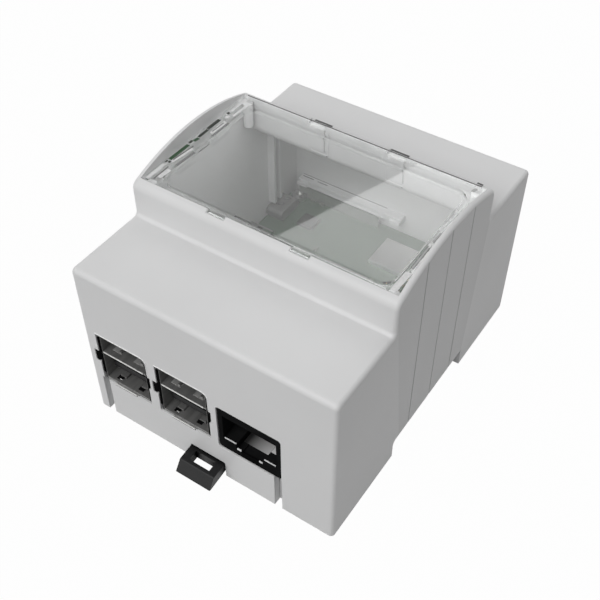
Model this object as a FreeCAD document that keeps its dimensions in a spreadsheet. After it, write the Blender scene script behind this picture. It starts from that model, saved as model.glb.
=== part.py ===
import FreeCAD, Part
import math
import operator
import os
import Sketcher

# Rail-mounted modular case, four modules wide, that holds a small computer board.
# Row frame in millimetres: origin at the centre of the rail seat, +Z up away from the rail,
# +X across the modules, +Y from the socket side to the rear, along the case.

# Driving sizes
sizes = {
    # Outer form
    "case_width": 71.0,
    "case_length": 90.0,
    "raised_length": 45.0,
    "foot_depth": 5.5,
    "shoulder_top": 43.0,
    "arch_top": 56.5,
    "arch_rise": 4.46,
    "shoulder_round": 1.3,
    "riser_foot_round": 1.0,
    "riser_top_round": 2.2,
    "side_round": 1.1,
    # Walls of the cover
    "wall": 2.0,
    "riser_wall": 2.2,
    "arch_wall": 1.4,
    "riser_inner_round": 3.0,
    "groove_width": 0.35,
    "groove_depth": 0.15,
    "groove_pitch": 10.7,
    "groove_offset": 0.35,
    # Rail recess, seat and catches
    "recess_front": 17.6,
    "recess_rear": 18.2,
    "recess_rise": 0.1,
    "recess_round": 1.4,
    "seat_width": 60.0,
    "seat_length": 28.0,
    "seat_height": 0.5,
    "hook_reach": 2.0,
    "hook_gap": 1.3,
    "hook_thick": 1.9,
    "hook_width": 16.0,
    "hook_spacing": 40.0,
    # Base
    "base_gap": 0.15,
    "floor_thick": 2.0,
    "deck_thick": 1.5,
    "rim_wall": 1.2,
    "rim_drop": 0.2,
    # Clear panel
    "panel_thick": 1.7,
    "panel_gap": 0.22,
    "panel_sink": 0.02,
    "panel_round": 0.25,
    "tab_left": 12.15,
    "tab_right": 10.3,
    "tab_width": 4.8,
    "tab_reach": 1.0,
    "tab_thick": 1.3,
    "notch_gap": 0.15,
    "rear_notch_depth": 1.7,
    "front_notch_depth": 1.06,
    "snap_pad": 0.35,
    "snap_pad_bottom": 43.6,
    "edge_notch_near": 3.3,
    "edge_notch_far": 11.0,
    "edge_notch_depth": 0.7,
    "flange_inset": 0.9,
    "flange_thick": 1.1,
    "flange_drop": 3.0,
    "rim_inset_x": 2.3,
    "rim_inset_y": 1.6,
    "panel_rim_thick": 1.0,
    "panel_rim_drop": 0.8,
    "panel_rim_round": 4.0,
    # Corner posts, guide ribs and shelf inside the cover
    "post_radius": 1.35,
    "post_inset": 1.2,
    "post_length": 6.8,
    "rib_thick": 1.0,
    "rib_slot": 1.7,
    "rib_reach": 2.2,
    "rib_place": 28.6,
    "rib_bottom": 11.6,
    "shelf_left": 31.0,
    "shelf_right": 3.5,
    "shelf_reach": 2.6,
    "shelf_top": 13.4,
    "shelf_thick": 1.8,
    "shelf_pad_width": 3.3,
    "shelf_pad_reach": 3.5,
    "shelf_pad_drop": 0.7,
    # Board
    "board_width": 56.0,
    "board_end_gap": 0.5,
    "board_thick": 1.5,
    "board_bottom": 5.8,
    "board_side_gap": 0.2,
    "board_round": 3.0,
    "hole_radius": 1.35,
    "hole_inset": 3.5,
    "hole_pitch_x": 49.0,
    "hole_front_place": 23.5,
    "standoff_radius": 2.6,
    "pilot_radius": 1.15,
    "pilot_depth": 5.0,
    "prop_radius": 1.5,
    "prop_inset_y": 3.5,
    # Screws
    "shank_radius": 1.1,
    "shank_length": 6.5,
    "head_radius": 2.3,
    "head_height": 1.6,
    "drive_radius": 0.9,
    "drive_depth": 0.9,
    # Rail latch
    "latch_centre": -0.3,
    "latch_width": 10.4,
    "latch_side_gap": 0.2,
    "latch_thick": 2.2,
    "latch_floor_gap": 0.1,
    "latch_nose": 1.8,
    "latch_nose_slope": 2.0,
    "handle_top": 0.6,
    "handle_reach": 4.5,
    "handle_fall": 0.5,
    "handle_lip": 6.5,
    "handle_bottom": 4.3,
    "handle_round": 0.5,
    "window_width": 6.0,
    "window_near": 0.75,
    "window_far": 3.5,
    "notch_top": 0.2,
    "notch_round": 0.5,
    "lug_reach": 1.2,
    "lug_length": 1.3,
    "lug_place": 37.5,
    "lug_play": 0.2,
    "guide_end": 21.0,
    "guide_wall": 1.2,
    "guide_height": 3.4,
    "guide_lip": 1.1,
    "guide_lip_thick": 1.0,
    "guide_lip_length": 6.0,
    "guide_lip_gap": 0.2,
    # Openings in the front wall
    "data_place": 9.0,
    "data_pitch": 18.0,
    "data_opening_width": 15.2,
    "data_opening_low": 7.1,
    "data_opening_high": 23.5,
    "data_opening_round": 1.6,
    "ear_low": 13.1,
    "ear_high": 17.3,
    "ear_left": 1.4,
    "ear_right": 0.6,
    "ear_round": 0.8,
    "lan_place": 45.75,
    "lan_opening_width": 17.85,
    "lan_opening_low": 5.9,
    "lan_opening_high": 21.0,
    "lan_opening_round": 0.9,
    "slit_width": 2.1,
    "slit_left": 32.5,
    "slit_right": 21.45,
    # Stacked data sockets
    "data_width": 14.0,
    "data_height": 16.0,
    "data_depth": 17.5,
    "shell_round": 0.8,
    "data_overhang": 2.1,
    "shell_thick": 0.3,
    "data_flange_width": 14.6,
    "flange_top_inset": 1.0,
    "port_width": 13.4,
    "port_height": 5.3,
    "lower_port_floor": 0.6,
    "upper_port_floor": 10.0,
    "port_depth": 16.0,
    "middle_recess": 3.0,
    "spring_pitch": 6.7,
    "spring_width": 1.9,
    "spring_length": 3.4,
    "spring_height": 0.35,
    "spring_setback": 1.5,
    "slot_width": 2.4,
    "tongue_width": 11.6,
    "tongue_thick": 1.8,
    "tongue_drop": 0.8,
    "tongue_setback": 2.2,
    "lip_width": 6.8,
    "lip_drop": 0.18,
    # Lan jack
    "lan_width": 16.0,
    "lan_height": 13.5,
    "lan_depth": 21.0,
    "lan_setback": 0.3,
    "lan_flange_width": 17.6,
    "lan_flange_low": 1.2,
    "lan_flange_rise": 0.05,
    "lan_flange_thick": 0.5,
    "plug_width": 14.9,
    "plug_top": 10.85,
    "plug_step": 2.5,
    "plug_step_width": 7.8,
    "plug_key": 0.6,
    "plug_key_width": 4.7,
    "plug_sill": 0.7,
    "plug_depth": 13.0,
    "insert_slope": 5.0,
    "insert_depth": 6.0,
    "contact_count": 8,
    "contact_spacing": 1.02,
    "contact_width": 0.35,
    "contact_length": 8.0,
    "contact_drop": 0.5,
    # Pin header
    "header_place_x": 52.5,
    "header_rows": 2,
    "header_clear": 1.2,
    "header_pitch": 2.54,
    "header_height": 2.5,
    "pin_width": 0.64,
    "pin_gap": 0.03,
    "pin_length": 8.5,
    # Small sockets along the left edge
    "socket_wall": 0.35,
    "power_place": 11.2,
    "power_width": 8.9,
    "power_depth": 5.4,
    "power_height": 3.2,
    "power_round": 1.2,
    "power_tongue_width": 6.6,
    "power_tongue_thick": 0.7,
    "video_front_place": 45.5,
    "video_rear_shift": 0.65,
    "video_width": 6.6,
    "video_depth": 7.6,
    "video_height": 3.1,
    "video_chamfer": 0.8,
    "audio_place": 31.0,
    "audio_width": 6.8,
    "audio_depth": 12.2,
    "audio_height": 5.5,
    "audio_bore": 1.8,
    "audio_bore_depth": 10.5,
    "camera_place": 38.5,
    "camera_inset": 1.2,
    "camera_width": 20.6,
    "camera_thick": 2.7,
    "camera_height": 5.5,
    "camera_slot": 0.9,
    "camera_slot_width": 17.0,
    "camera_slot_depth": 4.2,
    # Chips and shields
    "processor_place_x": 32.5,
    "processor_place_y": 29.25,
    "processor_width": 15.0,
    "processor_carrier": 0.9,
    "spreader_width": 13.2,
    "spreader_height": 1.3,
    "memory_place_x": 32.0,
    "memory_place_y": 44.0,
    "memory_width": 12.0,
    "memory_length": 10.0,
    "memory_height": 1.0,
    "shield_place_x": 40.1,
    "shield_place_y": 10.9,
    "shield_width": 10.4,
    "shield_length": 10.7,
    "shield_height": 1.3,
    "shield_wall": 0.2,
    "lan_chip_place_x": 43.0,
    "lan_chip_place_y": 27.0,
    "lan_chip_width": 7.0,
    "controller_place_x": 20.0,
    "controller_place_y": 23.5,
    "controller_width": 6.0,
    "power_chip_place_x": 12.0,
    "power_chip_place_y": 11.5,
    "power_chip_width": 5.0,
    "chip_height": 0.9,
    "card_place": 28.0,
    "card_width": 12.0,
    "card_length": 14.0,
    "card_height": 1.35,
    "card_setback": 1.3,
    "card_wall": 0.25,
    "passive_length": 1.6,
    "passive_width": 0.8,
    "passive_height": 0.6,
    "passive_spacing": 3.0,
    "input_row_x": 16.0,
    "input_row_y": 29.0,
    "supply_row_x": 20.0,
    "supply_row_y": 20.0,
    "memory_row_x": 26.0,
    "memory_row_y": 51.5,
    "core_row_x": 42.0,
    "core_row_y": 28.0,
    "link_row_x": 28.0,
    "link_row_y": 58.5,
    "led_length": 1.6,
    "led_width": 0.8,
    "led_height": 0.7,
    "led_place_x": 8.0,
    "led_place_y": 2.6,
    "led_pitch": 3.0,
    # Overrun of a cut past the face that it opens
    "overrun": 1.0,
    "bite": 0.2,
}

doc = FreeCAD.newDocument("RailCase")
sheet = doc.addObject("Spreadsheet::Sheet", "Sizes")

for row, (name, value) in enumerate(sizes.items(), start=1):
    sheet.set(f"A{row}", name)
    sheet.set(f"B{row}", str(value))
    sheet.setAlias(f"B{row}", name)
doc.recompute()

signs = {"+": operator.add, "-": operator.sub, "*": operator.mul, "/": operator.truediv}


class Size:
    # A length that keeps its number beside the sheet expression that gives it.
    def __init__(self, number, text):
        self.number = number
        self.text = text

    def __add__(self, other):
        return combine(self, "+", other)

    def __radd__(self, other):
        return combine(other, "+", self)

    def __sub__(self, other):
        return combine(self, "-", other)

    def __rsub__(self, other):
        return combine(other, "-", self)

    def __mul__(self, other):
        return combine(self, "*", other)

    def __rmul__(self, other):
        return combine(other, "*", self)

    def __truediv__(self, other):
        return combine(self, "/", other)

    def __neg__(self):
        return combine(0.0, "-", self)


def as_size(value):
    if isinstance(value, Size):
        return value
    return Size(float(value), repr(float(value)))


def combine(left, sign, right):
    left = as_size(left)
    right = as_size(right)
    number = signs[sign](left.number, right.number)
    return Size(number, f"({left.text} {sign} {right.text})")


def root(value):
    return Size(math.sqrt(value.number), f"sqrt({value.text})")


def whole(value):
    return Size(math.floor(value.number), f"floor({value.text})")


class Lengths:
    # The sheet's sizes by name.
    def __getattr__(self, name):
        return Size(float(sizes[name]), f"Sizes.{name}")


length = Lengths()


def bind(thing, path, value):
    thing.setExpression(path, as_size(value).text)


# Sketch outlines

def unit_step(start, end):
    across = end[0].number - start[0].number
    up = end[1].number - start[1].number
    reach = math.hypot(across, up)
    return round(across / reach), round(up / reach)


def vector(point):
    return FreeCAD.Vector(point[0].number, point[1].number, 0)


class Drawing:
    # The edges and rules of one sketch, kept until they are all known.
    def __init__(self):
        self.edges = []
        self.rules = []
        self.texts = []

    def rule(self, kind, edge, end, value):
        if end is None:
            self.rules.append(Sketcher.Constraint(kind, edge, value.number))
        else:
            self.rules.append(Sketcher.Constraint(kind, edge, end, value.number))
        self.texts.append(value.text)

    def pin(self, end, point):
        edge = len(self.edges) - 1
        self.rule("DistanceX", edge, end, point[0])
        self.rule("DistanceY", edge, end, point[1])

    def line(self, start, end):
        self.edges.append(Part.LineSegment(vector(start), vector(end)))
        self.pin(1, start)
        self.pin(2, end)

    def arc(self, start, end, centre, radius):
        # The arc runs the short way round from start to end about its centre.
        first = math.atan2(start[1].number - centre[1].number, start[0].number - centre[0].number)
        last = math.atan2(end[1].number - centre[1].number, end[0].number - centre[0].number)
        if (last - first) % (2 * math.pi) > math.pi:
            first, last = last, first
            start, end = end, start
        circle = Part.Circle(vector(centre), FreeCAD.Vector(0, 0, 1), radius.number)
        self.edges.append(Part.ArcOfCircle(circle, first, last))
        self.pin(1, start)
        self.pin(2, end)
        self.rule("Radius", len(self.edges) - 1, None, radius)

    def circle(self, centre, radius):
        self.edges.append(Part.Circle(vector(centre), FreeCAD.Vector(0, 0, 1), radius.number))
        self.pin(3, centre)
        self.rule("Radius", len(self.edges) - 1, None, radius)

    def outline(self, corners, arch=None):
        # Each corner is (across, up) or (across, up, radius). The arch is the place of a corner
        # in the list, and the radius of the arc that leaves it.
        points = [(as_size(corner[0]), as_size(corner[1])) for corner in corners]
        leave = []
        arrive = []
        for place, point in enumerate(points):
            if len(corners[place]) < 3:
                arrive.append(point)
                leave.append(point)
                continue
            radius = as_size(corners[place][2])
            back = unit_step(point, points[place - 1])
            ahead = unit_step(point, points[(place + 1) % len(points)])
            entry = (point[0] + radius * back[0], point[1] + radius * back[1])
            departure = (point[0] + radius * ahead[0], point[1] + radius * ahead[1])
            centre = (entry[0] + radius * ahead[0], entry[1] + radius * ahead[1])
            self.arc(entry, departure, centre, radius)
            arrive.append(entry)
            leave.append(departure)
        for place, start in enumerate(leave):
            end = arrive[(place + 1) % len(points)]
            if arch and arch[0] == place:
                half_chord = (end[0] - start[0]) / 2
                drop = root(arch[1] * arch[1] - half_chord * half_chord)
                self.arc(start, end, (start[0] + half_chord, start[1] - drop), arch[1])
            else:
                self.line(start, end)

    def place_on(self, sketch):
        sketch.addGeometry(self.edges)
        sketch.addConstraint(self.rules)
        for number, text in enumerate(self.texts):
            sketch.setExpression(f"Constraints[{number}]", text)


def rectangle(across, up, radius=None):
    low, high = across
    bottom, top = up
    corners = [(low, bottom), (high, bottom), (high, top), (low, top)]
    if radius is None:
        return corners
    return [corner + (radius,) for corner in corners]


def about(centre, width):
    return centre - width / 2, centre + width / 2


# A piece made from sketched profiles on its own origin planes
plane_roles = {"top": "XY_Plane", "front": "XZ_Plane", "side": "YZ_Plane"}


class Piece:
    def __init__(self, label):
        self.label = label
        self.body = doc.addObject("PartDesign::Body", "Body_" + label)
        self.body.Label = label
        self.steps = 0

    def step_name(self, word):
        self.steps += 1
        return f"{self.label}_{word}_{self.steps}"

    def sketch(self, plane, distance):
        sketch = self.body.newObject("Sketcher::SketchObject", self.step_name("sketch"))
        role = plane_roles[plane]
        for feature in self.body.Origin.OriginFeatures:
            if feature.Role == role:
                sketch.AttachmentSupport = [(feature, "")]
        sketch.MapMode = "FlatFace"
        bind(sketch, "AttachmentOffset.Base.z", distance)
        return sketch

    def fill(self, sketch, outlines, arch):
        # An outline is a list of corners, or a centre and a radius.
        drawing = Drawing()
        for outline in outlines:
            if isinstance(outline, tuple):
                drawing.circle(outline[0], outline[1])
            else:
                drawing.outline(outline, arch)
        drawing.place_on(sketch)

    def extrude(self, kind, plane, outlines, span, arch):
        # The front plane looks along +Y, so its own height runs towards -Y.
        low, high = span
        if plane == "front":
            low, high = -high, -low
        start = high if kind == "Pocket" else low
        sketch = self.sketch(plane, start)
        self.fill(sketch, outlines, arch)
        feature = self.body.newObject(f"PartDesign::{kind}", self.step_name(kind.lower()))
        feature.Profile = sketch
        feature.Type = "Length"
        bind(feature, "Length", high - low)
        return feature

    def pad(self, plane, outlines, span, arch=None):
        return self.extrude("Pad", plane, outlines, span, arch)

    def pocket(self, plane, outlines, span, arch=None):
        return self.extrude("Pocket", plane, outlines, span, arch)

    def repeat_along_y(self, count, pitch):
        # Repeats the last step along Y, count times in all.
        source = self.body.Tip
        doc.recompute()
        pattern = self.body.newObject("PartDesign::LinearPattern", self.step_name("pattern"))
        pattern.Originals = [source]
        for feature in self.body.Origin.OriginFeatures:
            if feature.Role == "Y_Axis":
                pattern.Direction = (feature, [""])
        bind(pattern, "Occurrences", count)
        bind(pattern, "Length", pitch * (count - 1))
        self.body.Tip = pattern

    def fillet(self, radius, chosen):
        doc.recompute()
        tip = self.body.Tip
        names = []
        for place, edge in enumerate(tip.Shape.Edges, start=1):
            if chosen(edge.BoundBox):
                names.append(f"Edge{place}")
        feature = self.body.newObject("PartDesign::Fillet", self.step_name("fillet"))
        feature.Base = (tip, names)
        bind(feature, "Radius", radius)
        return feature


def close_to(value, wanted):
    return abs(value - as_size(wanted).number) < 0.01


def lies_along_x(box, across, up):
    flat = close_to(box.YMin, across) and close_to(box.YMax, across)
    level = close_to(box.ZMin, up) and close_to(box.ZMax, up)
    return flat and level


# Pieces made from primitives

def slab(name, across, along, up):
    block = doc.addObject("Part::Box", name)
    for size_name, axis, span in (("Length", "x", across), ("Width", "y", along), ("Height", "z", up)):
        bind(block, size_name, span[1] - span[0])
        bind(block, f"Placement.Base.{axis}", span[0])
    return block


def rod(name, centre, radius, up):
    cylinder = doc.addObject("Part::Cylinder", name)
    bind(cylinder, "Radius", radius)
    bind(cylinder, "Height", up[1] - up[0])
    bind(cylinder, "Placement.Base.x", centre[0])
    bind(cylinder, "Placement.Base.y", centre[1])
    bind(cylinder, "Placement.Base.z", up[0])
    return cylinder


def cut(label, base, tools):
    tool = tools[0]
    if len(tools) > 1:
        tool = doc.addObject("Part::MultiFuse", label + "_tools")
        tool.Shapes = tools
    result = doc.addObject("Part::Cut", label + "_cut")
    result.Base = base
    result.Tool = tool
    result.Label = label
    return result


def fuse(label, shapes):
    result = doc.addObject("Part::MultiFuse", label + "_fuse")
    result.Shapes = shapes
    result.Label = label
    return result


def group(label, shapes):
    result = doc.addObject("Part::Compound", label + "_group")
    result.Links = shapes
    result.Label = label
    return result


# Levels and places worked out from the driving sizes
half_width = length.case_width / 2
half_length = length.case_length / 2
half_raised = length.raised_length / 2
inner_x = half_width - length.wall
inner_y = half_length - length.wall
riser_y = half_raised - length.riser_wall
panel_x = half_width - length.arch_wall
foot = -length.foot_depth
ceiling = length.shoulder_top - length.wall
arch_edge = length.arch_top - length.arch_rise
arch_radius = (half_raised * half_raised + length.arch_rise * length.arch_rise) / (length.arch_rise * 2)
panel_top = length.arch_top - arch_radius + root(arch_radius * arch_radius - riser_y * riser_y)
ledge = panel_top - length.panel_thick
deck_bottom = length.seat_height
deck_top = deck_bottom + length.deck_thick
floor_top = foot + length.floor_thick
board_top = length.board_bottom + length.board_thick
board_left = length.board_side_gap - inner_x
board_right = board_left + length.board_width
board_front = length.board_end_gap - inner_y
board_rear = inner_y - length.board_end_gap
rim_top = length.board_bottom - length.rim_drop
notch_floor = panel_top - length.panel_thick
above = length.arch_top + length.overrun
below = foot - length.overrun
socket_mouth = board_left - length.bite / 4


def from_left(distance):
    return board_left + distance


def from_front(distance):
    return board_front + distance


def from_rear(distance):
    return board_rear - distance


data_centres = [from_left(length.data_place), from_left(length.data_place + length.data_pitch)]
lan_centre = from_left(length.lan_place)
tab_centres = [-length.tab_left, length.tab_right]
hole_rear = from_rear(length.hole_inset)
hole_front = from_front(length.hole_front_place)
hole_centres = [
    (from_left(length.hole_inset), hole_rear),
    (from_left(length.hole_inset + length.hole_pitch_x), hole_rear),
    (from_left(length.hole_inset), hole_front),
    (from_left(length.hole_inset + length.hole_pitch_x), hole_front),
]
header_centre = (hole_front + hole_rear) / 2
header_room = hole_rear - hole_front - (length.head_radius + length.header_clear) * 2
header_columns = whole(header_room / length.header_pitch)
power_centre = from_rear(length.power_place)
video_front_centre = from_front(length.video_front_place)
video_rear_centre = (video_front_centre + power_centre) / 2 - length.video_rear_shift
lan_chip_centre = (from_left(length.lan_chip_place_x), from_front(length.lan_chip_place_y))
controller_centre = (from_left(length.controller_place_x), from_front(length.controller_place_y))
power_chip_centre = (from_left(length.power_chip_place_x), from_rear(length.power_chip_place_y))


# Cover: one moulded shell with stepped shoulders, an arched raised band and side walls

def data_opening(centre):
    left = centre - length.data_opening_width / 2
    right = centre + length.data_opening_width / 2
    return [
        (left, length.data_opening_low),
        (left, length.ear_low),
        (left - length.ear_left, length.ear_low, length.ear_round),
        (left - length.ear_left, length.ear_high),
        (left, length.ear_high),
        (left, length.data_opening_high),
        (right, length.data_opening_high, length.data_opening_round),
        (right, length.ear_high),
        (right + length.ear_right, length.ear_high),
        (right + length.ear_right, length.ear_low),
        (right, length.ear_low),
        (right, length.data_opening_low),
    ]


def build_cover():
    cover = Piece("cover")
    outer = [
        (-half_length, foot),
        (-half_length, length.shoulder_top),
        (-half_raised, length.shoulder_top),
        (-half_raised, arch_edge),
        (half_raised, arch_edge),
        (half_raised, length.shoulder_top),
        (half_length, length.shoulder_top),
        (half_length, foot),
    ]
    cover.pad("side", [outer], (-half_width, half_width), (3, arch_radius))
    for across, up, radius in (
        (half_raised, arch_edge, length.riser_top_round),
        (half_raised, length.shoulder_top, length.riser_foot_round),
        (half_length, length.shoulder_top, length.shoulder_round),
    ):
        cover.fillet(radius, lambda box: lies_along_x(box, across, up) or lies_along_x(box, -across, up))
    cover.fillet(length.side_round, on_side_outline)

    # The hollow, its inner corners rounded under the riser
    hollow = [
        (-inner_y, below),
        (-inner_y, ceiling),
        (-riser_y, ceiling, length.riser_inner_round),
        (-riser_y, ledge),
        (riser_y, ledge),
        (riser_y, ceiling, length.riser_inner_round),
        (inner_y, ceiling),
        (inner_y, below),
    ]
    cover.pocket("side", [hollow], (-inner_x, inner_x))
    cover.pocket("top", [rectangle((-panel_x, panel_x), (-riser_y, riser_y))], (ledge, above))

    # Notches for the panel's tabs in the front and rear walls of the riser
    notches = []
    for centre in tab_centres:
        across = about(centre, length.tab_width + length.notch_gap * 2)
        notches.append(rectangle(across, (riser_y - length.bite, riser_y + length.rear_notch_depth)))
        notches.append(rectangle(across, (-riser_y - length.front_notch_depth, length.bite - riser_y)))
    cover.pocket("top", notches, (notch_floor, above))

    # Recess for the rail, through both side walls
    recess = [
        (-length.recess_front, below),
        (-length.recess_front, length.recess_rise, length.recess_round),
        (length.recess_rear, length.recess_rise),
        (length.recess_rear, below),
    ]
    past_sides = half_width + length.overrun
    cover.pocket("side", [recess], (-past_sides, past_sides))

    # Openings in the front wall: two data sockets, the lan socket, two slits and the latch
    front_wall = (-half_length - length.overrun, length.bite - inner_y)
    cover.pocket("front", [data_opening(data_centres[0])], front_wall)
    cover.pocket("front", [data_opening(data_centres[1])], front_wall)
    lan_opening = rectangle(
        about(lan_centre, length.lan_opening_width),
        (length.lan_opening_low, length.lan_opening_high),
        length.lan_opening_round,
    )
    cover.pocket("front", [lan_opening], front_wall)
    left_slit = (-length.slit_left, length.slit_width - length.slit_left)
    right_slit = (length.slit_right - length.slit_width, length.slit_right)
    cover.pocket("front", [rectangle(left_slit, (below, length.data_opening_low + length.bite))], front_wall)
    cover.pocket("front", [rectangle(right_slit, (below, length.lan_opening_low + length.bite))], front_wall)
    latch_left, latch_right = about(length.latch_centre, length.latch_width)
    latch_notch = [
        (latch_left, below),
        (latch_left, -length.notch_top, length.notch_round),
        (latch_right, -length.notch_top, length.notch_round),
        (latch_right, below),
    ]
    cover.pocket("front", [latch_notch], front_wall)

    # Three fine grooves down each side
    grooves = []
    for step in (-1, 0, 1):
        place = about(length.groove_offset + length.groove_pitch * step, length.groove_width)
        grooves.append(rectangle((half_width - length.groove_depth, past_sides), place))
        grooves.append(rectangle((-past_sides, length.groove_depth - half_width), place))
    cover.pocket("top", grooves, (below, above))

    # Guide channels for an upright board, two ribs each
    ribs = []
    second_rib = length.rib_place + length.rib_thick + length.rib_slot
    for place in (length.rib_place, second_rib):
        for side_low, side_high in (
            (-inner_x - length.bite, length.rib_reach - inner_x),
            (inner_x - length.rib_reach, inner_x + length.bite),
        ):
            ribs.append(rectangle((side_low, side_high), (place, place + length.rib_thick)))
            ribs.append(rectangle((side_low, side_high), (-place - length.rib_thick, -place)))
    cover.pad("top", ribs, (length.rib_bottom, ceiling + length.bite))

    # Round posts that carry the panel's corners
    post_x = inner_x - length.post_inset
    post_y = riser_y - length.post_inset
    posts = []
    for x_sign in (-1, 1):
        for y_sign in (-1, 1):
            posts.append(((post_x * x_sign, post_y * y_sign), length.post_radius))
    cover.pad("top", posts, (ledge - length.post_length, ledge))

    # Low pads that the panel's tabs spring against
    pads = []
    for centre in tab_centres:
        across = about(centre, length.tab_width)
        pads.append(rectangle(across, (riser_y - length.snap_pad, riser_y + length.bite)))
        pads.append(rectangle(across, (-riser_y - length.bite, length.snap_pad - riser_y)))
    cover.pad("top", pads, (length.snap_pad_bottom + length.riser_inner_round / 3, notch_floor))

    # Shelf along the rear wall with a pad at each end
    shelf = (-length.shelf_left, length.shelf_right)
    shelf_bottom = length.shelf_top - length.shelf_thick
    cover.pad(
        "top",
        [rectangle(shelf, (inner_y - length.shelf_reach, inner_y + length.bite))],
        (shelf_bottom, length.shelf_top),
    )
    end_pads = [
        rectangle((shelf[0], shelf[0] + length.shelf_pad_width), (inner_y - length.shelf_pad_reach, inner_y)),
        rectangle((shelf[1] - length.shelf_pad_width, shelf[1]), (inner_y - length.shelf_pad_reach, inner_y)),
    ]
    cover.pad("top", end_pads, (shelf_bottom, length.shelf_top - length.shelf_pad_drop))
    return cover.body


def on_side_outline(box):
    right = close_to(box.XMin, half_width) and close_to(box.XMax, half_width)
    left = close_to(box.XMin, -half_width) and close_to(box.XMax, -half_width)
    at_foot = close_to(box.ZMin, foot) and close_to(box.ZMax, foot)
    return (right or left) and not at_foot


# Base: stepped floor that straddles the rail, with rim, standoffs, hooks and latch guides

def build_base():
    base = Piece("base")
    base_x = inner_x - length.base_gap
    base_y = inner_y - length.base_gap
    well_x = base_x - length.rim_wall
    well_y = base_y - length.rim_wall
    front_step = length.recess_front + length.floor_thick
    rear_step = length.recess_rear + length.floor_thick
    base.pad("top", [rectangle((-base_x, base_x), (-base_y, base_y))], (foot, rim_top))
    well = [
        (-well_y, floor_top),
        (-well_y, rim_top + length.overrun),
        (well_y, rim_top + length.overrun),
        (well_y, floor_top),
        (rear_step, floor_top),
        (rear_step, deck_top),
        (-front_step, deck_top),
        (-front_step, floor_top),
    ]
    base.pocket("side", [well], (-well_x, well_x))

    # Standoffs and props under the board, then the recess for the rail
    posts = [(centre, length.standoff_radius) for centre in hole_centres]
    prop_x = (data_centres[0] + data_centres[1]) / 2
    prop_y = board_front + length.prop_inset_y
    props = [((prop_x, prop_y), length.prop_radius), ((lan_centre, prop_y), length.prop_radius)]
    base.pad("top", posts + props, (floor_top - length.bite, length.board_bottom))
    pilots = [(centre, length.pilot_radius) for centre in hole_centres]
    pilot_bottom = length.board_bottom - length.pilot_depth
    base.pocket("top", pilots, (pilot_bottom, length.board_bottom + length.overrun))
    recess = rectangle((-length.recess_front, length.recess_rear), (below, deck_bottom))
    past_sides = half_width + length.overrun
    base.pocket("side", [recess], (-past_sides, past_sides))

    # Way for the latch through the front rim and the step
    way_top = floor_top + length.latch_floor_gap * 2 + length.latch_thick
    way_across = about(length.latch_centre, length.latch_width + length.latch_side_gap * 2)
    way = rectangle(way_across, (floor_top, way_top))
    base.pocket("front", [way], (-base_y - length.overrun, length.overrun - length.recess_front))
    mouth = rectangle(way_across, (floor_top, length.bite - length.notch_top))
    base.pocket("front", [mouth], (-base_y - length.overrun, length.bite - well_y))

    # Guides on both sides of the latch, with a lip over it
    guide_start = length.lug_place - length.lug_length - length.lug_play
    guide_inner = length.latch_width / 2 + length.latch_side_gap
    guide_outer = guide_inner + length.guide_wall
    guides = []
    lips = []
    lip_middle = (guide_start + length.guide_end) / 2
    lip_span = (-lip_middle - length.guide_lip_length / 2, length.guide_lip_length / 2 - lip_middle)
    for sign in (-1, 1):
        inner_edge = length.latch_centre + guide_inner * sign
        outer_edge = length.latch_centre + guide_outer * sign
        lip_edge = length.latch_centre + (guide_inner - length.guide_lip) * sign
        guide = (inner_edge, outer_edge) if sign > 0 else (outer_edge, inner_edge)
        lip = (lip_edge, outer_edge) if sign > 0 else (outer_edge, lip_edge)
        guides.append(rectangle(guide, (-guide_start, -length.guide_end)))
        lips.append(rectangle(lip, lip_span))
    base.pad("top", guides, (floor_top - length.bite, floor_top + length.guide_height))
    lip_bottom = floor_top + length.latch_floor_gap + length.latch_thick + length.guide_lip_gap
    base.pad("top", lips, (lip_bottom, lip_bottom + length.guide_lip_thick))

    # Seat that bears on the rail
    seat = rectangle(about(as_size(0.0), length.seat_width), about(as_size(0.0), length.seat_length))
    base.pad("top", [seat], (as_size(0.0), deck_bottom + length.bite))

    # Fixed hooks under the rail's rear edge, with a sloped lead-in
    hook_top = -length.hook_gap
    hook_bottom = hook_top - length.hook_thick
    hook = [
        (length.recess_rear + length.bite, hook_bottom - length.hook_reach / 2),
        (length.recess_rear - length.hook_reach, hook_bottom + length.hook_thick / 2),
        (length.recess_rear - length.hook_reach, hook_top),
        (length.recess_rear + length.bite, hook_top),
    ]
    for sign in (-1, 1):
        base.pad("side", [hook], about(length.hook_spacing / 2 * sign, length.hook_width))
    return base.body


# Clear panel: flat plate with four tabs, snap flanges and a rounded rim underneath

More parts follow.
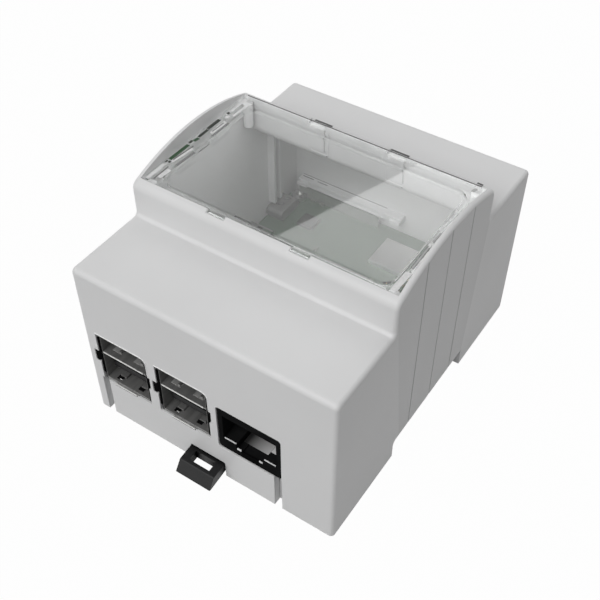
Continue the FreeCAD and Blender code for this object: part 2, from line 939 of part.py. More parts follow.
def build_panel():
    panel = Piece("clear_panel")
    edge_x = panel_x - length.panel_gap
    edge_y = riser_y - length.panel_gap
    top = panel_top - length.panel_sink
    plate = rectangle((-edge_x, edge_x), (-edge_y, edge_y))
    panel.pad("top", [plate], (ledge, top))
    tabs = []
    for centre in tab_centres:
        across = about(centre, length.tab_width)
        tabs.append(rectangle(across, (edge_y - length.bite, riser_y + length.tab_reach)))
        tabs.append(rectangle(across, (-riser_y - length.tab_reach, length.bite - edge_y)))
    panel.pad("top", tabs, (top - length.tab_thick, top))

    # Both side edges step in where the snap flanges hang
    steps = []
    flanges = []
    for low, high in (
        (length.edge_notch_near, length.edge_notch_far),
        (-length.edge_notch_far, -length.edge_notch_near),
    ):
        steps.append(rectangle((edge_x - length.edge_notch_depth, edge_x + length.overrun), (low, high)))
        steps.append(rectangle((-edge_x - length.overrun, length.edge_notch_depth - edge_x), (low, high)))
        flange_outer = edge_x - length.flange_inset
        flange_inner = flange_outer - length.flange_thick
        inside = (low + length.bite, high - length.bite)
        flanges.append(rectangle((flange_inner, flange_outer), inside))
        flanges.append(rectangle((-flange_outer, -flange_inner), inside))
    panel.pocket("top", steps, (ledge - length.overrun, top + length.overrun))
    panel.pad("top", flanges, (ledge - length.flange_drop, ledge + length.bite))

    # Low rim with rounded corners
    rim_x = edge_x - length.rim_inset_x
    rim_y = edge_y - length.rim_inset_y
    wall_in = length.panel_rim_thick
    outer = rectangle((-rim_x, rim_x), (-rim_y, rim_y), length.panel_rim_round)
    inner = rectangle(
        (wall_in - rim_x, rim_x - wall_in),
        (wall_in - rim_y, rim_y - wall_in),
        length.panel_rim_round - wall_in,
    )
    panel.pad("top", [outer, inner], (ledge - length.panel_rim_drop, ledge + length.bite))
    panel.fillet(length.panel_round, lambda box: close_to(box.ZMin, top) and close_to(box.ZMax, top))
    return panel.body


# Rail latch: flat slide with a sloped nose at the rail and a pull handle outside

def build_latch():
    latch = Piece("rail_latch")
    bottom = floor_top + length.latch_floor_gap
    top = bottom + length.latch_thick
    nose = length.latch_nose - length.recess_front
    handle_low = -length.handle_bottom
    face = -half_length
    profile = [
        (nose, top),
        (nose, (top + bottom) / 2),
        (nose - length.latch_nose_slope, bottom),
        (face, bottom),
        (face - length.handle_lip + length.handle_round, handle_low),
        (face - length.handle_lip, handle_low + length.handle_round / 2),
        (face - length.handle_reach, -length.handle_top - length.handle_fall),
        (face, -length.handle_top),
        (length.wall - half_length, -length.handle_top),
        (length.wall - half_length + length.handle_fall, top),
    ]
    latch.pad("side", [profile], about(length.latch_centre, length.latch_width - length.latch_side_gap))
    window = rectangle(
        about(length.latch_centre, length.window_width),
        (face - length.window_far, face - length.window_near),
    )
    latch.pocket("top", [window], (handle_low - length.overrun, length.overrun))
    lugs = []
    for sign in (-1, 1):
        near = length.latch_centre + (length.latch_width / 2 - length.bite) * sign
        far = length.latch_centre + (length.latch_width / 2 + length.lug_reach) * sign
        across = (near, far) if sign > 0 else (far, near)
        lugs.append(rectangle(across, (-length.lug_place, length.lug_length - length.lug_place)))
    latch.pad("top", lugs, (bottom, top))
    front_corner = face - length.handle_reach
    latch.fillet(
        length.handle_round,
        lambda box: close_to(box.YMin, front_corner) and close_to(box.YMax, front_corner),
    )
    return latch.body


# Board with rounded corners and four fixing holes, and its screws

def build_board():
    board = Piece("main_board")
    outline = rectangle((board_left, board_right), (board_front, board_rear), length.board_round)
    holes = [(centre, length.hole_radius) for centre in hole_centres]
    board.pad("top", [outline] + holes, (length.board_bottom, board_top))
    return board.body


def build_screws():
    screws = []
    for place, centre in enumerate(hole_centres):
        head_top = board_top + length.head_height
        shank = rod(f"shank_{place}", centre, length.shank_radius, (head_top - length.shank_length, head_top))
        head = rod(f"head_{place}", centre, length.head_radius, (board_top, head_top))
        whole = fuse(f"screw_{place}", [shank, head])
        drive = rod(
            f"drive_{place}",
            centre,
            length.drive_radius,
            (head_top - length.drive_depth, head_top + length.overrun),
        )
        screws.append(cut(f"driven_screw_{place}", whole, [drive]))
    return group("board_screws", screws)


# Stacked data sockets: stamped shell, two ports, flared sides and floor springs

def port_levels():
    lower = board_top + length.lower_port_floor
    upper = board_top + length.upper_port_floor
    return lower, upper


def build_data_shell(label, centre):
    shell = Piece(label)
    front = board_front - length.data_overhang
    back = front + length.data_depth
    top = board_top + length.data_height
    body_span = about(centre, length.data_width)
    port_span = about(centre, length.port_width)
    lower, upper = port_levels()
    shell.pad("front", [rectangle(body_span, (board_top, top), length.shell_round)], (front, back))

    # Flared sides of the mouth
    wide = about(centre, length.data_flange_width)
    flares = []
    for across in ((wide[0], body_span[0] + length.bite), (body_span[1] - length.bite, wide[1])):
        flares.append(rectangle(across, (board_top, top - length.flange_top_inset)))
    shell.pad("front", flares, (front, front + length.shell_thick))

    # Two ports, and the panel between them set back
    for floor in (lower, upper):
        port = rectangle(port_span, (floor, floor + length.port_height))
        shell.pocket("front", [port], (front - length.overrun, front + length.port_depth))
    middle = rectangle(port_span, (lower + length.port_height - length.bite, upper - length.shell_thick))
    shell.pocket("front", [middle], (front - length.overrun, front + length.middle_recess))

    # Springs rise from slots in each floor
    springs = []
    slots = []
    for sign in (-1, 1):
        spring_x = centre + length.spring_pitch / 2 * sign
        start = front + length.spring_setback
        slots.append(rectangle(about(spring_x, length.slot_width), (start, start + length.spring_length)))
        springs.append(rectangle(
            about(spring_x, length.spring_width),
            (start + length.bite * 2, start + length.spring_length + length.bite),
        ))
    for floor in (lower, upper):
        shell.pocket("top", slots, (floor - length.shell_thick, floor + length.bite / 2))
        shell.pad("top", springs, (floor - length.shell_thick, floor + length.spring_height))

    # Lip that turns down at the middle of the mouth
    lip = rectangle(about(centre, length.lip_width), (board_top - length.lip_drop, board_top + length.bite))
    shell.pad("front", [lip], (front - length.shell_thick / 2, front + length.shell_thick))
    return shell.body


def build_data_tongues(label, centre):
    front = board_front - length.data_overhang
    tongues = []
    for place, floor in enumerate(port_levels()):
        top = floor + length.port_height - length.tongue_drop
        tongues.append(slab(
            f"{label}_{place}",
            about(centre, length.tongue_width),
            (front + length.tongue_setback, front + length.port_depth),
            (top - length.tongue_thick, top),
        ))
    return group(label, tongues)


# Lan jack: black housing with a stepped plug cavity, a pale inner block and eight contacts

def plug_outline(sill):
    half_plug = length.plug_width / 2
    half_step = length.plug_step_width / 2
    half_key = length.plug_key_width / 2
    step = board_top + length.plug_step
    key = board_top + length.plug_key
    top = board_top + length.plug_top
    return [
        (lan_centre - half_plug, step),
        (lan_centre - half_plug, top),
        (lan_centre + half_plug, top),
        (lan_centre + half_plug, step),
        (lan_centre + half_step, step),
        (lan_centre + half_step, key),
        (lan_centre + half_key, key),
        (lan_centre + half_key, sill),
        (lan_centre - half_key, sill),
        (lan_centre - half_key, key),
        (lan_centre - half_step, key),
        (lan_centre - half_step, step),
    ]


def build_lan_jack():
    jack = Piece("lan_jack")
    front = length.lan_setback - half_length
    back = front + length.lan_depth
    top = board_top + length.lan_height
    flange_low = board_top - length.lan_flange_low
    sill = board_top - length.plug_sill
    jack.pad("front", [rectangle(about(lan_centre, length.lan_width), (board_top, top))], (front, back))
    flange_across = about(lan_centre, length.lan_flange_width)
    flange = rectangle(flange_across, (flange_low, top + length.lan_flange_rise), length.lan_opening_round)
    jack.pad("front", [flange], (front, front + length.lan_flange_thick))
    plug = plug_outline(board_top + length.bite)
    jack.pocket("front", [plug], (front - length.overrun, front + length.plug_depth))
    mouth = plug_outline(sill)
    jack.pocket("front", [mouth], (front - length.overrun, front + length.lan_flange_thick + length.bite))
    return jack.body


def build_lan_insert():
    insert = Piece("lan_insert")
    back = length.lan_setback - half_length + length.plug_depth
    bottom = board_top + length.plug_step
    top = board_top + length.plug_top
    wedge = [
        (back, bottom),
        (back, top),
        (back - length.insert_depth + length.insert_slope, top),
        (back - length.insert_depth, bottom),
    ]
    insert.pad("side", [wedge], about(lan_centre, length.plug_width))
    return insert.body


def build_lan_contacts():
    front = length.lan_setback - half_length + length.overrun * 2
    top = board_top + length.plug_top
    first = lan_centre - length.contact_spacing * (length.contact_count - 1) / 2
    contacts = []
    for place in range(sizes["contact_count"]):
        contacts.append(slab(
            f"contact_{place}",
            about(first + length.contact_spacing * place, length.contact_width),
            (front, front + length.contact_length),
            (top - length.contact_drop, top),
        ))
    return group("lan_contacts", contacts)


# Pin header: moulded strip with square pins through it

def header_starts():
    first_x = from_left(length.header_place_x) - length.header_pitch * (length.header_rows - 1) / 2
    first_y = header_centre - length.header_pitch * (header_columns - 1) / 2
    for line in range(sizes["header_rows"]):
        yield first_x + length.header_pitch * line, first_y


def build_pin_header():
    header = Piece("pin_header")
    across = about(from_left(length.header_place_x), length.header_pitch * length.header_rows)
    along = about(header_centre, length.header_pitch * header_columns)
    header.pad("top", [rectangle(across, along)], (board_top, board_top + length.header_height))
    hole = length.pin_width + length.pin_gap * 2
    holes = [rectangle(about(x, hole), about(y, hole)) for x, y in header_starts()]
    header_top = board_top + length.header_height
    header.pocket("top", holes, (board_top - length.overrun, header_top + length.overrun))
    header.repeat_along_y(header_columns, length.header_pitch)
    return header.body


def build_header_pins():
    pins = []
    for line, (x, first_y) in enumerate(header_starts()):
        for column in range(header_columns.number):
            pins.append(slab(
                f"pin_{line}_{column}",
                about(x, length.pin_width),
                about(first_y + length.header_pitch * column, length.pin_width),
                (board_top, board_top + length.pin_length),
            ))
    return group("header_pins", pins)


# Small sockets along the left edge of the board, open towards the side

def build_power_socket():
    socket = Piece("power_socket")
    along = about(power_centre, length.power_width)
    back = socket_mouth + length.power_depth
    up = (board_top, board_top + length.power_height)
    skin = length.socket_wall
    socket.pad("side", [rectangle(along, up, length.power_round)], (socket_mouth, back))
    hollow = rectangle(
        (along[0] + skin, along[1] - skin),
        (up[0] + skin, up[1] - skin),
        length.power_round - skin,
    )
    socket.pocket("side", [hollow], (socket_mouth - length.overrun, back - skin))
    return socket.body


def build_power_tongue():
    middle = board_top + length.power_height / 2
    back = socket_mouth + length.power_depth - length.socket_wall
    return slab(
        "power_tongue",
        (socket_mouth + length.socket_wall * 2, back),
        about(power_centre, length.power_tongue_width),
        about(middle, length.power_tongue_thick),
    )


def build_video_socket(label, centre):
    socket = Piece(label)
    low, high = about(centre, length.video_width)
    back = socket_mouth + length.video_depth
    skin = length.socket_wall
    slope = length.video_chamfer
    top = board_top + length.video_height

    def outline(inset):
        return [
            (low + slope + inset / 2, board_top + inset),
            (high - slope - inset / 2, board_top + inset),
            (high - inset, board_top + slope + inset / 2),
            (high - inset, top - inset),
            (low + inset, top - inset),
            (low + inset, board_top + slope + inset / 2),
        ]

    socket.pad("side", [outline(0.0)], (socket_mouth, back))
    socket.pocket("side", [outline(skin)], (socket_mouth - length.overrun, back - skin))
    return socket.body


def build_audio_jack():
    jack = Piece("audio_jack")
    centre = from_front(length.audio_place)
    up = (board_top, board_top + length.audio_height)
    block = rectangle(about(centre, length.audio_width), up)
    jack.pad("side", [block], (socket_mouth, socket_mouth + length.audio_depth))
    bore = ((centre, board_top + length.audio_height / 2), length.audio_bore)
    jack.pocket("side", [bore], (socket_mouth - length.overrun, socket_mouth + length.audio_bore_depth))
    return jack.body


def build_camera_connector():
    left = from_left(length.camera_inset)
    across = (left, left + length.camera_width)
    centre_y = from_front(length.camera_place)
    top = board_top + length.camera_height
    block = slab("camera_block", across, about(centre_y, length.camera_thick), (board_top, top))
    slot = slab(
        "camera_slot",
        about(left + length.camera_width / 2, length.camera_slot_width),
        about(centre_y, length.camera_slot),
        (top - length.camera_slot_depth, top + length.overrun),
    )
    return cut("camera_connector", block, [slot])


# Chips, shield and card slot

def chip(label, centre, width, depth, height):
    return slab(label, about(centre[0], width), about(centre[1], depth), (board_top, board_top + height))


def square_chip(label, centre, width):
    return chip(label, centre, width, width, length.chip_height)


def build_memory_chip():
    centre = (from_left(length.memory_place_x), from_rear(length.memory_place_y))
    return chip("memory_chip", centre, length.memory_width, length.memory_length, length.memory_height)


def build_processor():
    centre = (from_left(length.processor_place_x), from_rear(length.processor_place_y))
    carrier_width = length.processor_width
    carrier = chip("carrier", centre, carrier_width, carrier_width, length.processor_carrier)
    spreader = slab(
        "spreader",
        about(centre[0], length.spreader_width),
        about(centre[1], length.spreader_width),
        (board_top + length.processor_carrier, board_top + length.processor_carrier + length.spreader_height),
    )
    return fuse("processor", [carrier, spreader])


def build_radio_shield():
    centre = (from_left(length.shield_place_x), from_rear(length.shield_place_y))
    can = chip("can", centre, length.shield_width, length.shield_length, length.shield_height)
    hollow = slab(
        "can_hollow",
        about(centre[0], length.shield_width - length.shield_wall * 2),
        about(centre[1], length.shield_length - length.shield_wall * 2),
        (board_top - length.overrun, board_top + length.shield_height - length.shield_wall),
    )
    return cut("radio_shield", can, [hollow])


def build_card_slot():
    across = about(from_left(length.card_place), length.card_width)
    rear = board_rear - length.card_setback
    top = length.board_bottom
    bottom = top - length.card_height
    skin = length.card_wall
    case = slab("card_case", across, (rear - length.card_length, rear), (bottom, top))
    hollow = slab(
        "card_hollow",
        (across[0] + skin, across[1] - skin),
        (rear - length.card_length + skin, rear + length.overrun),
        (bottom + skin, top - skin),
    )
    return cut("card_slot", case, [hollow])


# Small two-ended parts in rows: place of the first, how many go across and how many along

def passive_rows():
    return [
        (from_left(length.input_row_x), from_rear(length.input_row_y), 3, 1),
        (from_left(length.supply_row_x), from_rear(length.supply_row_y), 1, 2),
        (from_left(length.memory_row_x), from_rear(length.memory_row_y), 3, 1),
        (from_left(length.core_row_x), from_rear(length.core_row_y), 1, 3),
        (from_left(length.link_row_x), from_rear(length.link_row_y), 3, 1),
    ]


def build_passives():
    passives = []
    for row_x, row_y, across, along in passive_rows():
        for number in range(across * along):
            centre_x = row_x + length.passive_spacing * (number if across > 1 else 0)
            centre_y = row_y - length.passive_spacing * (number if along > 1 else 0)
            passives.append(chip(
                f"passive_{len(passives)}",
                (centre_x, centre_y),
                length.passive_width,
                length.passive_length,
                length.passive_height,
            ))
    return group("passives", passives)


def build_leds():
    leds = []
    for number in range(2):
        centre_x = from_left(length.led_place_x + length.led_pitch * number)
        leds.append(chip(
            f"led_{number}",
            (centre_x, from_rear(length.led_place_y)),
            length.led_length,
            length.led_width,
            length.led_height,
        ))
    return group("status_leds", leds)


pieces = [
    build_cover(),
    build_base(),
    build_panel(),
    build_latch(),
    build_board(),
    build_screws(),
    build_data_shell("data_shell_left", data_centres[0]),
    build_data_shell("data_shell_right", data_centres[1]),
    build_data_tongues("data_tongues_left", data_centres[0]),
    build_data_tongues("data_tongues_right", data_centres[1]),
    build_lan_jack(),
    build_lan_insert(),
    build_lan_contacts(),
    build_pin_header(),
    build_header_pins(),
    build_power_socket(),
    build_power_tongue(),
    build_video_socket("video_socket_front", video_front_centre),
    build_video_socket("video_socket_rear", video_rear_centre),
    build_audio_jack(),
    build_camera_connector(),
    build_processor(),
    build_memory_chip(),
    build_radio_shield(),
    square_chip("lan_chip", lan_chip_centre, length.lan_chip_width),
    square_chip("data_controller", controller_centre, length.controller_width),
    square_chip("power_chip", power_chip_centre, length.power_chip_width),
    build_card_slot(),
    build_passives(),
    build_leds(),
]
doc.recompute()

# Nothing is written unless every object and every piece is sound
for thing in doc.Objects:
    for state in thing.State:
        if state in ("Invalid", "Error"):
            raise RuntimeError(f"{thing.Label} is {state}")
for piece in pieces:
    if piece.Shape.isNull() or not piece.Shape.isValid():
        raise RuntimeError(f"{piece.Label} has no sound shape")

os.makedirs("parts", exist_ok=True)
for piece in pieces:
    piece.Shape.exportStep(f"parts/{piece.Label}.step")
    print(f"{piece.Label}: {len(piece.Shape.Solids)} solids, {piece.Shape.Volume:.1f} cubic mm")
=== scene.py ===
import math

import bmesh
import bpy
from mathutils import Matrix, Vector


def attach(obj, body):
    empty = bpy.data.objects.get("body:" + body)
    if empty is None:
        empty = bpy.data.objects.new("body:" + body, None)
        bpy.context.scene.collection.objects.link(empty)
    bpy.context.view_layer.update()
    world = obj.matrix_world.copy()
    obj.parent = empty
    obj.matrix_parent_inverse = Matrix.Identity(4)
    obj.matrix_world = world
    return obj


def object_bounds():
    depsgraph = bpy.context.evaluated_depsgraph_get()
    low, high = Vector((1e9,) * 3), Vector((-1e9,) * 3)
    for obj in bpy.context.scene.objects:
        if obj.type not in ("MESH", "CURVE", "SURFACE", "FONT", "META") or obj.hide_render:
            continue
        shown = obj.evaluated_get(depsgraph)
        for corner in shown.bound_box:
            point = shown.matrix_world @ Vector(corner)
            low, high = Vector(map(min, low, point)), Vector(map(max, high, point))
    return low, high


# Rail case with a clear panel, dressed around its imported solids.
# Metres, row frame: origin on the rail seat, +X across the modules, +Y to the rear, +Z up.

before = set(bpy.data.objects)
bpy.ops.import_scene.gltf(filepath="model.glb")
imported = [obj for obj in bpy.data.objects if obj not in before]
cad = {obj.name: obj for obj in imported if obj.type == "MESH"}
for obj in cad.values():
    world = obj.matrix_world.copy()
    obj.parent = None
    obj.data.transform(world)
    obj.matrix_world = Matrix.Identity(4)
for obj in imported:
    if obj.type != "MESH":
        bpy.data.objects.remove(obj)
solidLow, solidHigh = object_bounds()
scene = bpy.context.scene
mmPerMetre = 1000
print("loaded", len(cad), "solids")


# Small helpers for node materials

def startMaterial(name):
    made = bpy.data.materials.new(name)
    made.use_nodes = True
    shader = made.node_tree.nodes["Principled BSDF"]
    return made, made.node_tree, shader


def addNode(tree, kind, **settings):
    made = tree.nodes.new(kind)
    for key, value in settings.items():
        setattr(made, key, value)
    return made


def objectPoint(tree):
    return addNode(tree, "ShaderNodeTexCoord").outputs["Object"]


def noise(tree, scale, detail=2.0, stretch=None):
    # Grain in the solid's own space; stretch squeezes it along an axis
    made = addNode(tree, "ShaderNodeTexNoise")
    made.inputs["Scale"].default_value = scale
    made.inputs["Detail"].default_value = detail
    point = objectPoint(tree)
    if stretch:
        mapping = addNode(tree, "ShaderNodeMapping")
        mapping.inputs["Scale"].default_value = stretch
        tree.links.new(point, mapping.inputs["Vector"])
        point = mapping.outputs["Vector"]
    tree.links.new(point, made.inputs["Vector"])
    return made.outputs["Fac"]


def rampBetween(tree, factor, low, high, start=0.3, end=0.7):
    ramp = addNode(tree, "ShaderNodeValToRGB")
    ramp.color_ramp.elements[0].position = start
    ramp.color_ramp.elements[1].position = end
    ramp.color_ramp.elements[0].color = (*low, 1)
    ramp.color_ramp.elements[1].color = (*high, 1)
    tree.links.new(factor, ramp.inputs["Fac"])
    return ramp.outputs["Color"]


def spread(tree, factor, low, high):
    made = addNode(tree, "ShaderNodeMapRange")
    made.inputs["To Min"].default_value = low
    made.inputs["To Max"].default_value = high
    tree.links.new(factor, made.inputs["Value"])
    return made.outputs["Result"]


def bump(tree, shader, height, strength, depth, edgeRadius=0.0):
    made = addNode(tree, "ShaderNodeBump")
    made.inputs["Strength"].default_value = strength
    made.inputs["Distance"].default_value = depth
    tree.links.new(height, made.inputs["Height"])
    if edgeRadius:
        rounded = addNode(tree, "ShaderNodeBevel", samples=6)  # softens the moulded edges
        rounded.inputs["Radius"].default_value = edgeRadius
        tree.links.new(rounded.outputs["Normal"], made.inputs["Normal"])
    tree.links.new(made.outputs["Normal"], shader.inputs["Normal"])


def tone(value, tint=(1.0, 1.0, 1.0)):
    return tuple(min(value * part, 1.0) for part in tint)


def dress(nodes, material):
    for name in nodes:
        piece = cad[name]
        piece.data.materials.clear()
        piece.data.materials.append(material)


# Cover and base: one light grey plastic with a fine spark-eroded skin

coverLook = {
    "grey": 0.74,
    "tint": (0.998, 1.0, 1.002),
    "blotch": 0.025,
    "blotchScale": 28.0,
    "grainScale": 5200.0,
    "grainDepth": 0.00002,
    "grainStrength": 0.35,
    "roughLow": 0.4,
    "roughHigh": 0.52,
    "edgeRadius": 0.00022,
    "gloss": 0.5,
    "glossShadeReach": 0.0,  # how far painted shade from a corner takes the gloss away, 0 for not at all
    "glossShadeOpen": 0.55,  # the openness under which the painted shade leaves no gloss
}
plasticIor = 1.5


def mouldedPlastic(name, look):
    made, tree, shader = startMaterial(name)
    shader.inputs["Specular IOR Level"].default_value = look["gloss"]
    low = tone(look["grey"] * (1 - look["blotch"]), look["tint"])
    high = tone(look["grey"] * (1 + look["blotch"]), look["tint"])
    patches = noise(tree, look["blotchScale"], detail=3.0)
    tree.links.new(rampBetween(tree, patches, low, high), shader.inputs["Base Color"])
    # Painted shade: an occlusion mask dims the gloss in corners and recesses
    if look["glossShadeReach"]:
        cornerShade = addNode(tree, "ShaderNodeAmbientOcclusion", samples=8)
        cornerShade.inputs["Distance"].default_value = look["glossShadeReach"]
        shadedGloss = addNode(tree, "ShaderNodeMapRange")
        shadedGloss.inputs["From Min"].default_value = look["glossShadeOpen"]
        shadedGloss.inputs["To Max"].default_value = look["gloss"]
        tree.links.new(cornerShade.outputs["AO"], shadedGloss.inputs["Value"])
        tree.links.new(shadedGloss.outputs["Result"], shader.inputs["Specular IOR Level"])
    grain = noise(tree, look["grainScale"], detail=1.0)
    tree.links.new(spread(tree, grain, look["roughLow"], look["roughHigh"]), shader.inputs["Roughness"])
    shader.inputs["IOR"].default_value = plasticIor
    bump(tree, shader, grain, look["grainStrength"], look["grainDepth"], look["edgeRadius"])
    return made


# Painted shade on the cover: darker colour on the middle bands of the sides and on the inner rear wall.
# A border of a side band is (slope, start) of the line y = slope * z + start, in metres.
paintedShadeLook = {
    "side": {"out": 0.03542, "rear": (0.0890, 0.01819), "front": (-0.1489, -0.01494), "share": 0.9},
    "wall": {"centre": (0.0, 0.0208, 0.0470), "half": (0.0330, 0.0016, 0.0055), "share": 0.76},
}


def nearTo(tree, value, centre, half):
    # 1 where value is within half of centre
    near = addNode(tree, "ShaderNodeMath", operation="COMPARE")
    near.inputs[1].default_value = centre
    near.inputs[2].default_value = half
    tree.links.new(value, near.inputs[0])
    return near.outputs["Value"]


def besideLine(tree, axes, line, operation):
    # 1 on one side of a border that slants in the Y-Z plane
    edge = addNode(tree, "ShaderNodeMath", operation="MULTIPLY_ADD")
    edge.inputs[1].default_value, edge.inputs[2].default_value = line
    tree.links.new(axes.outputs["Z"], edge.inputs[0])
    side = addNode(tree, "ShaderNodeMath", operation=operation)
    tree.links.new(axes.outputs["Y"], side.inputs[0])
    tree.links.new(edge.outputs["Value"], side.inputs[1])
    return side.outputs["Value"]


def darkenWhere(tree, shader, factors, share):
    # The colour is multiplied by share where every factor is 1
    total = factors[0]
    for factor in factors[1:]:
        both = addNode(tree, "ShaderNodeMath", operation="MULTIPLY")
        tree.links.new(total, both.inputs[0])
        tree.links.new(factor, both.inputs[1])
        total = both.outputs["Value"]
    darker = addNode(tree, "ShaderNodeMix", data_type="RGBA", blend_type="MULTIPLY")
    darker.inputs["B"].default_value = (share, share, share, 1)
    tree.links.new(total, darker.inputs["Factor"])
    tree.links.new(shader.inputs["Base Color"].links[0].from_socket, darker.inputs["A"])
    tree.links.new(darker.outputs["Result"], shader.inputs["Base Color"])


# Paints shade into the colour of the side bands and the inner rear wall
def paintShade(material, look):
    tree = material.node_tree
    shader = tree.nodes["Principled BSDF"]
    axes = addNode(tree, "ShaderNodeSeparateXYZ")
    tree.links.new(objectPoint(tree), axes.inputs["Vector"])
    outward = addNode(tree, "ShaderNodeMath", operation="ABSOLUTE")
    tree.links.new(axes.outputs["X"], outward.inputs[0])
    outside = addNode(tree, "ShaderNodeMath", operation="GREATER_THAN")
    outside.inputs[1].default_value = look["side"]["out"]
    tree.links.new(outward.outputs["Value"], outside.inputs[0])
    sideBand = [
        outside.outputs["Value"],
        besideLine(tree, axes, look["side"]["rear"], "LESS_THAN"),
        besideLine(tree, axes, look["side"]["front"], "GREATER_THAN"),
    ]
    darkenWhere(tree, shader, sideBand, look["side"]["share"])
    wall = look["wall"]
    rearWall = [
        nearTo(tree, axes.outputs[axis], centre, half)
        for axis, centre, half in zip("XYZ", wall["centre"], wall["half"])
    ]
    darkenWhere(tree, shader, rearWall, wall["share"])


coverPlastic = mouldedPlastic("coverPlastic", coverLook)
paintShade(coverPlastic, paintedShadeLook)
dress(["cover"], coverPlastic)

baseLook = dict(coverLook, grey=0.72, blotchScale=36.0)
basePlastic = mouldedPlastic("basePlastic", baseLook)
dress(["base"], basePlastic)
print("cover and base dressed")


# Clear panel: polished plate that lets the lamps through

panelLook = {
    "tint": (0.965, 0.975, 0.97),
    "roughness": 0.015,
    "ior": 1.1,
    "coatIor": 1.58,
    "shade": 0.97,
    "bounceThrough": 0.8,
    "bounceBack": 0.3,
    "bounceDown": 0.12,
}


def clearPlastic(look):
    made, tree, shader = startMaterial("clearPlastic")
    shader.inputs["Base Color"].default_value = (*look["tint"], 1)
    shader.inputs["Roughness"].default_value = look["roughness"]
    shader.inputs["IOR"].default_value = look["ior"]
    shader.inputs["Transmission Weight"].default_value = 1.0
    shader.inputs["Coat Weight"].default_value = 1.0
    shader.inputs["Coat Roughness"].default_value = look["roughness"]
    shader.inputs["Coat IOR"].default_value = look["coatIor"]
    through = addNode(tree, "ShaderNodeBsdfTransparent")
    through.inputs["Color"].default_value = (*[look["shade"]] * 3, 1)
    path = addNode(tree, "ShaderNodeLightPath")
    soft = addNode(tree, "ShaderNodeMath", operation="MAXIMUM")
    tree.links.new(path.outputs["Is Shadow Ray"], soft.inputs[0])
    tree.links.new(path.outputs["Is Diffuse Ray"], soft.inputs[1])
    # What bounced light meets: part passes, part comes back from the plate's faces
    passing = addNode(tree, "ShaderNodeBsdfTransparent")
    passing.inputs["Color"].default_value = (*[look["bounceThrough"]] * 3, 1)
    back = addNode(tree, "ShaderNodeBsdfDiffuse")
    back.inputs["Color"].default_value = (*[look["bounceBack"]] * 3, 1)
    down = addNode(tree, "ShaderNodeBsdfTranslucent")
    down.inputs["Color"].default_value = (*[look["bounceDown"]] * 3, 1)
    both = addNode(tree, "ShaderNodeAddShader")
    tree.links.new(back.outputs["BSDF"], both.inputs[0])
    tree.links.new(down.outputs["BSDF"], both.inputs[1])
    bounced = addNode(tree, "ShaderNodeAddShader")
    tree.links.new(passing.outputs["BSDF"], bounced.inputs[0])
    tree.links.new(both.outputs["Shader"], bounced.inputs[1])
    kind = addNode(tree, "ShaderNodeMixShader")
    tree.links.new(path.outputs["Is Diffuse Ray"], kind.inputs[0])
    tree.links.new(through.outputs["BSDF"], kind.inputs[1])
    tree.links.new(bounced.outputs["Shader"], kind.inputs[2])
    pick = addNode(tree, "ShaderNodeMixShader")
    tree.links.new(soft.outputs["Value"], pick.inputs[0])
    tree.links.new(shader.outputs["BSDF"], pick.inputs[1])
    tree.links.new(kind.outputs["Shader"], pick.inputs[2])
    tree.links.new(pick.outputs["Shader"], tree.nodes["Material Output"].inputs["Surface"])
    return made


dress(["clear_panel"], clearPlastic(panelLook))
print("clear panel dressed")


# Black latch: glass-filled nylon with a slight sheen

latchLook = {
    "grey": 0.008,
    "gloss": 0.28,
    "glossShadeReach": 0.003,
    "glossShadeOpen": 0.55,
    "tint": (1.0, 1.02, 1.05),
    "blotch": 0.2,
    "blotchScale": 300.0,
    "grainScale": 4200.0,
    "grainDepth": 0.00003,
    "grainStrength": 0.5,
    "roughLow": 0.3,
    "roughHigh": 0.48,
    "edgeRadius": 0.00025,
}
dress(["rail_latch"], mouldedPlastic("latchPlastic", latchLook))

# Black plastics of the sockets and strips

jackLook = dict(latchLook, grey=0.012, gloss=0.0, roughLow=0.32, roughHigh=0.45, edgeRadius=0.00012)
dress(["lan_jack"], mouldedPlastic("jackPlastic", jackLook))
headerLook = dict(latchLook, grey=0.012, gloss=0.3, roughLow=0.4, roughHigh=0.55, edgeRadius=0.0001)
dress(["pin_header"], mouldedPlastic("headerPlastic", headerLook))
connectorLook = dict(latchLook, grey=0.02, gloss=0.3, roughLow=0.4, roughHigh=0.5, edgeRadius=0.0001)
connectorPlastic = mouldedPlastic("connectorPlastic", connectorLook)
dress(["audio_jack", "camera_connector"], connectorPlastic)
insertLook = dict(coverLook, grey=0.5, blotchScale=90.0, edgeRadius=0.0001)
dress(["lan_insert"], mouldedPlastic("insertPlastic", insertLook))
tongueLook = dict(latchLook, grey=0.012, gloss=0.2, roughLow=0.35, roughHigh=0.5, edgeRadius=0.0001)
tonguePlastic = mouldedPlastic("tonguePlastic", tongueLook)
dress(["data_tongues_left", "data_tongues_right", "power_tongue"], tonguePlastic)
resinLook = dict(latchLook, grey=0.018, gloss=0.4, roughLow=0.42, roughHigh=0.6, edgeRadius=0.00008)
chipResin = mouldedPlastic("chipResin", resinLook)
dress(["memory_chip", "lan_chip", "data_controller"], chipResin)
powerLook = dict(resinLook, grey=0.06, tint=(0.95, 1.0, 0.92))
dress(["power_chip"], mouldedPlastic("powerResin", powerLook))
print("latch, jack, strips and chips dressed")


# Metals, each with its own brushing or stamping marks

def sheetMetal(name, look):
    made, tree, shader = startMaterial(name)
    marks = noise(tree, look["markScale"], detail=3.0, stretch=look["markStretch"])
    colour = rampBetween(tree, marks, tone(look["low"], look["tint"]), tone(look["high"], look["tint"]))
    tree.links.new(colour, shader.inputs["Base Color"])
    tree.links.new(spread(tree, marks, look["roughLow"], look["roughHigh"]), shader.inputs["Roughness"])
    shader.inputs["Metallic"].default_value = look["metal"]
    bump(tree, shader, marks, look["markStrength"], look["markDepth"], look["edgeRadius"])
    return made


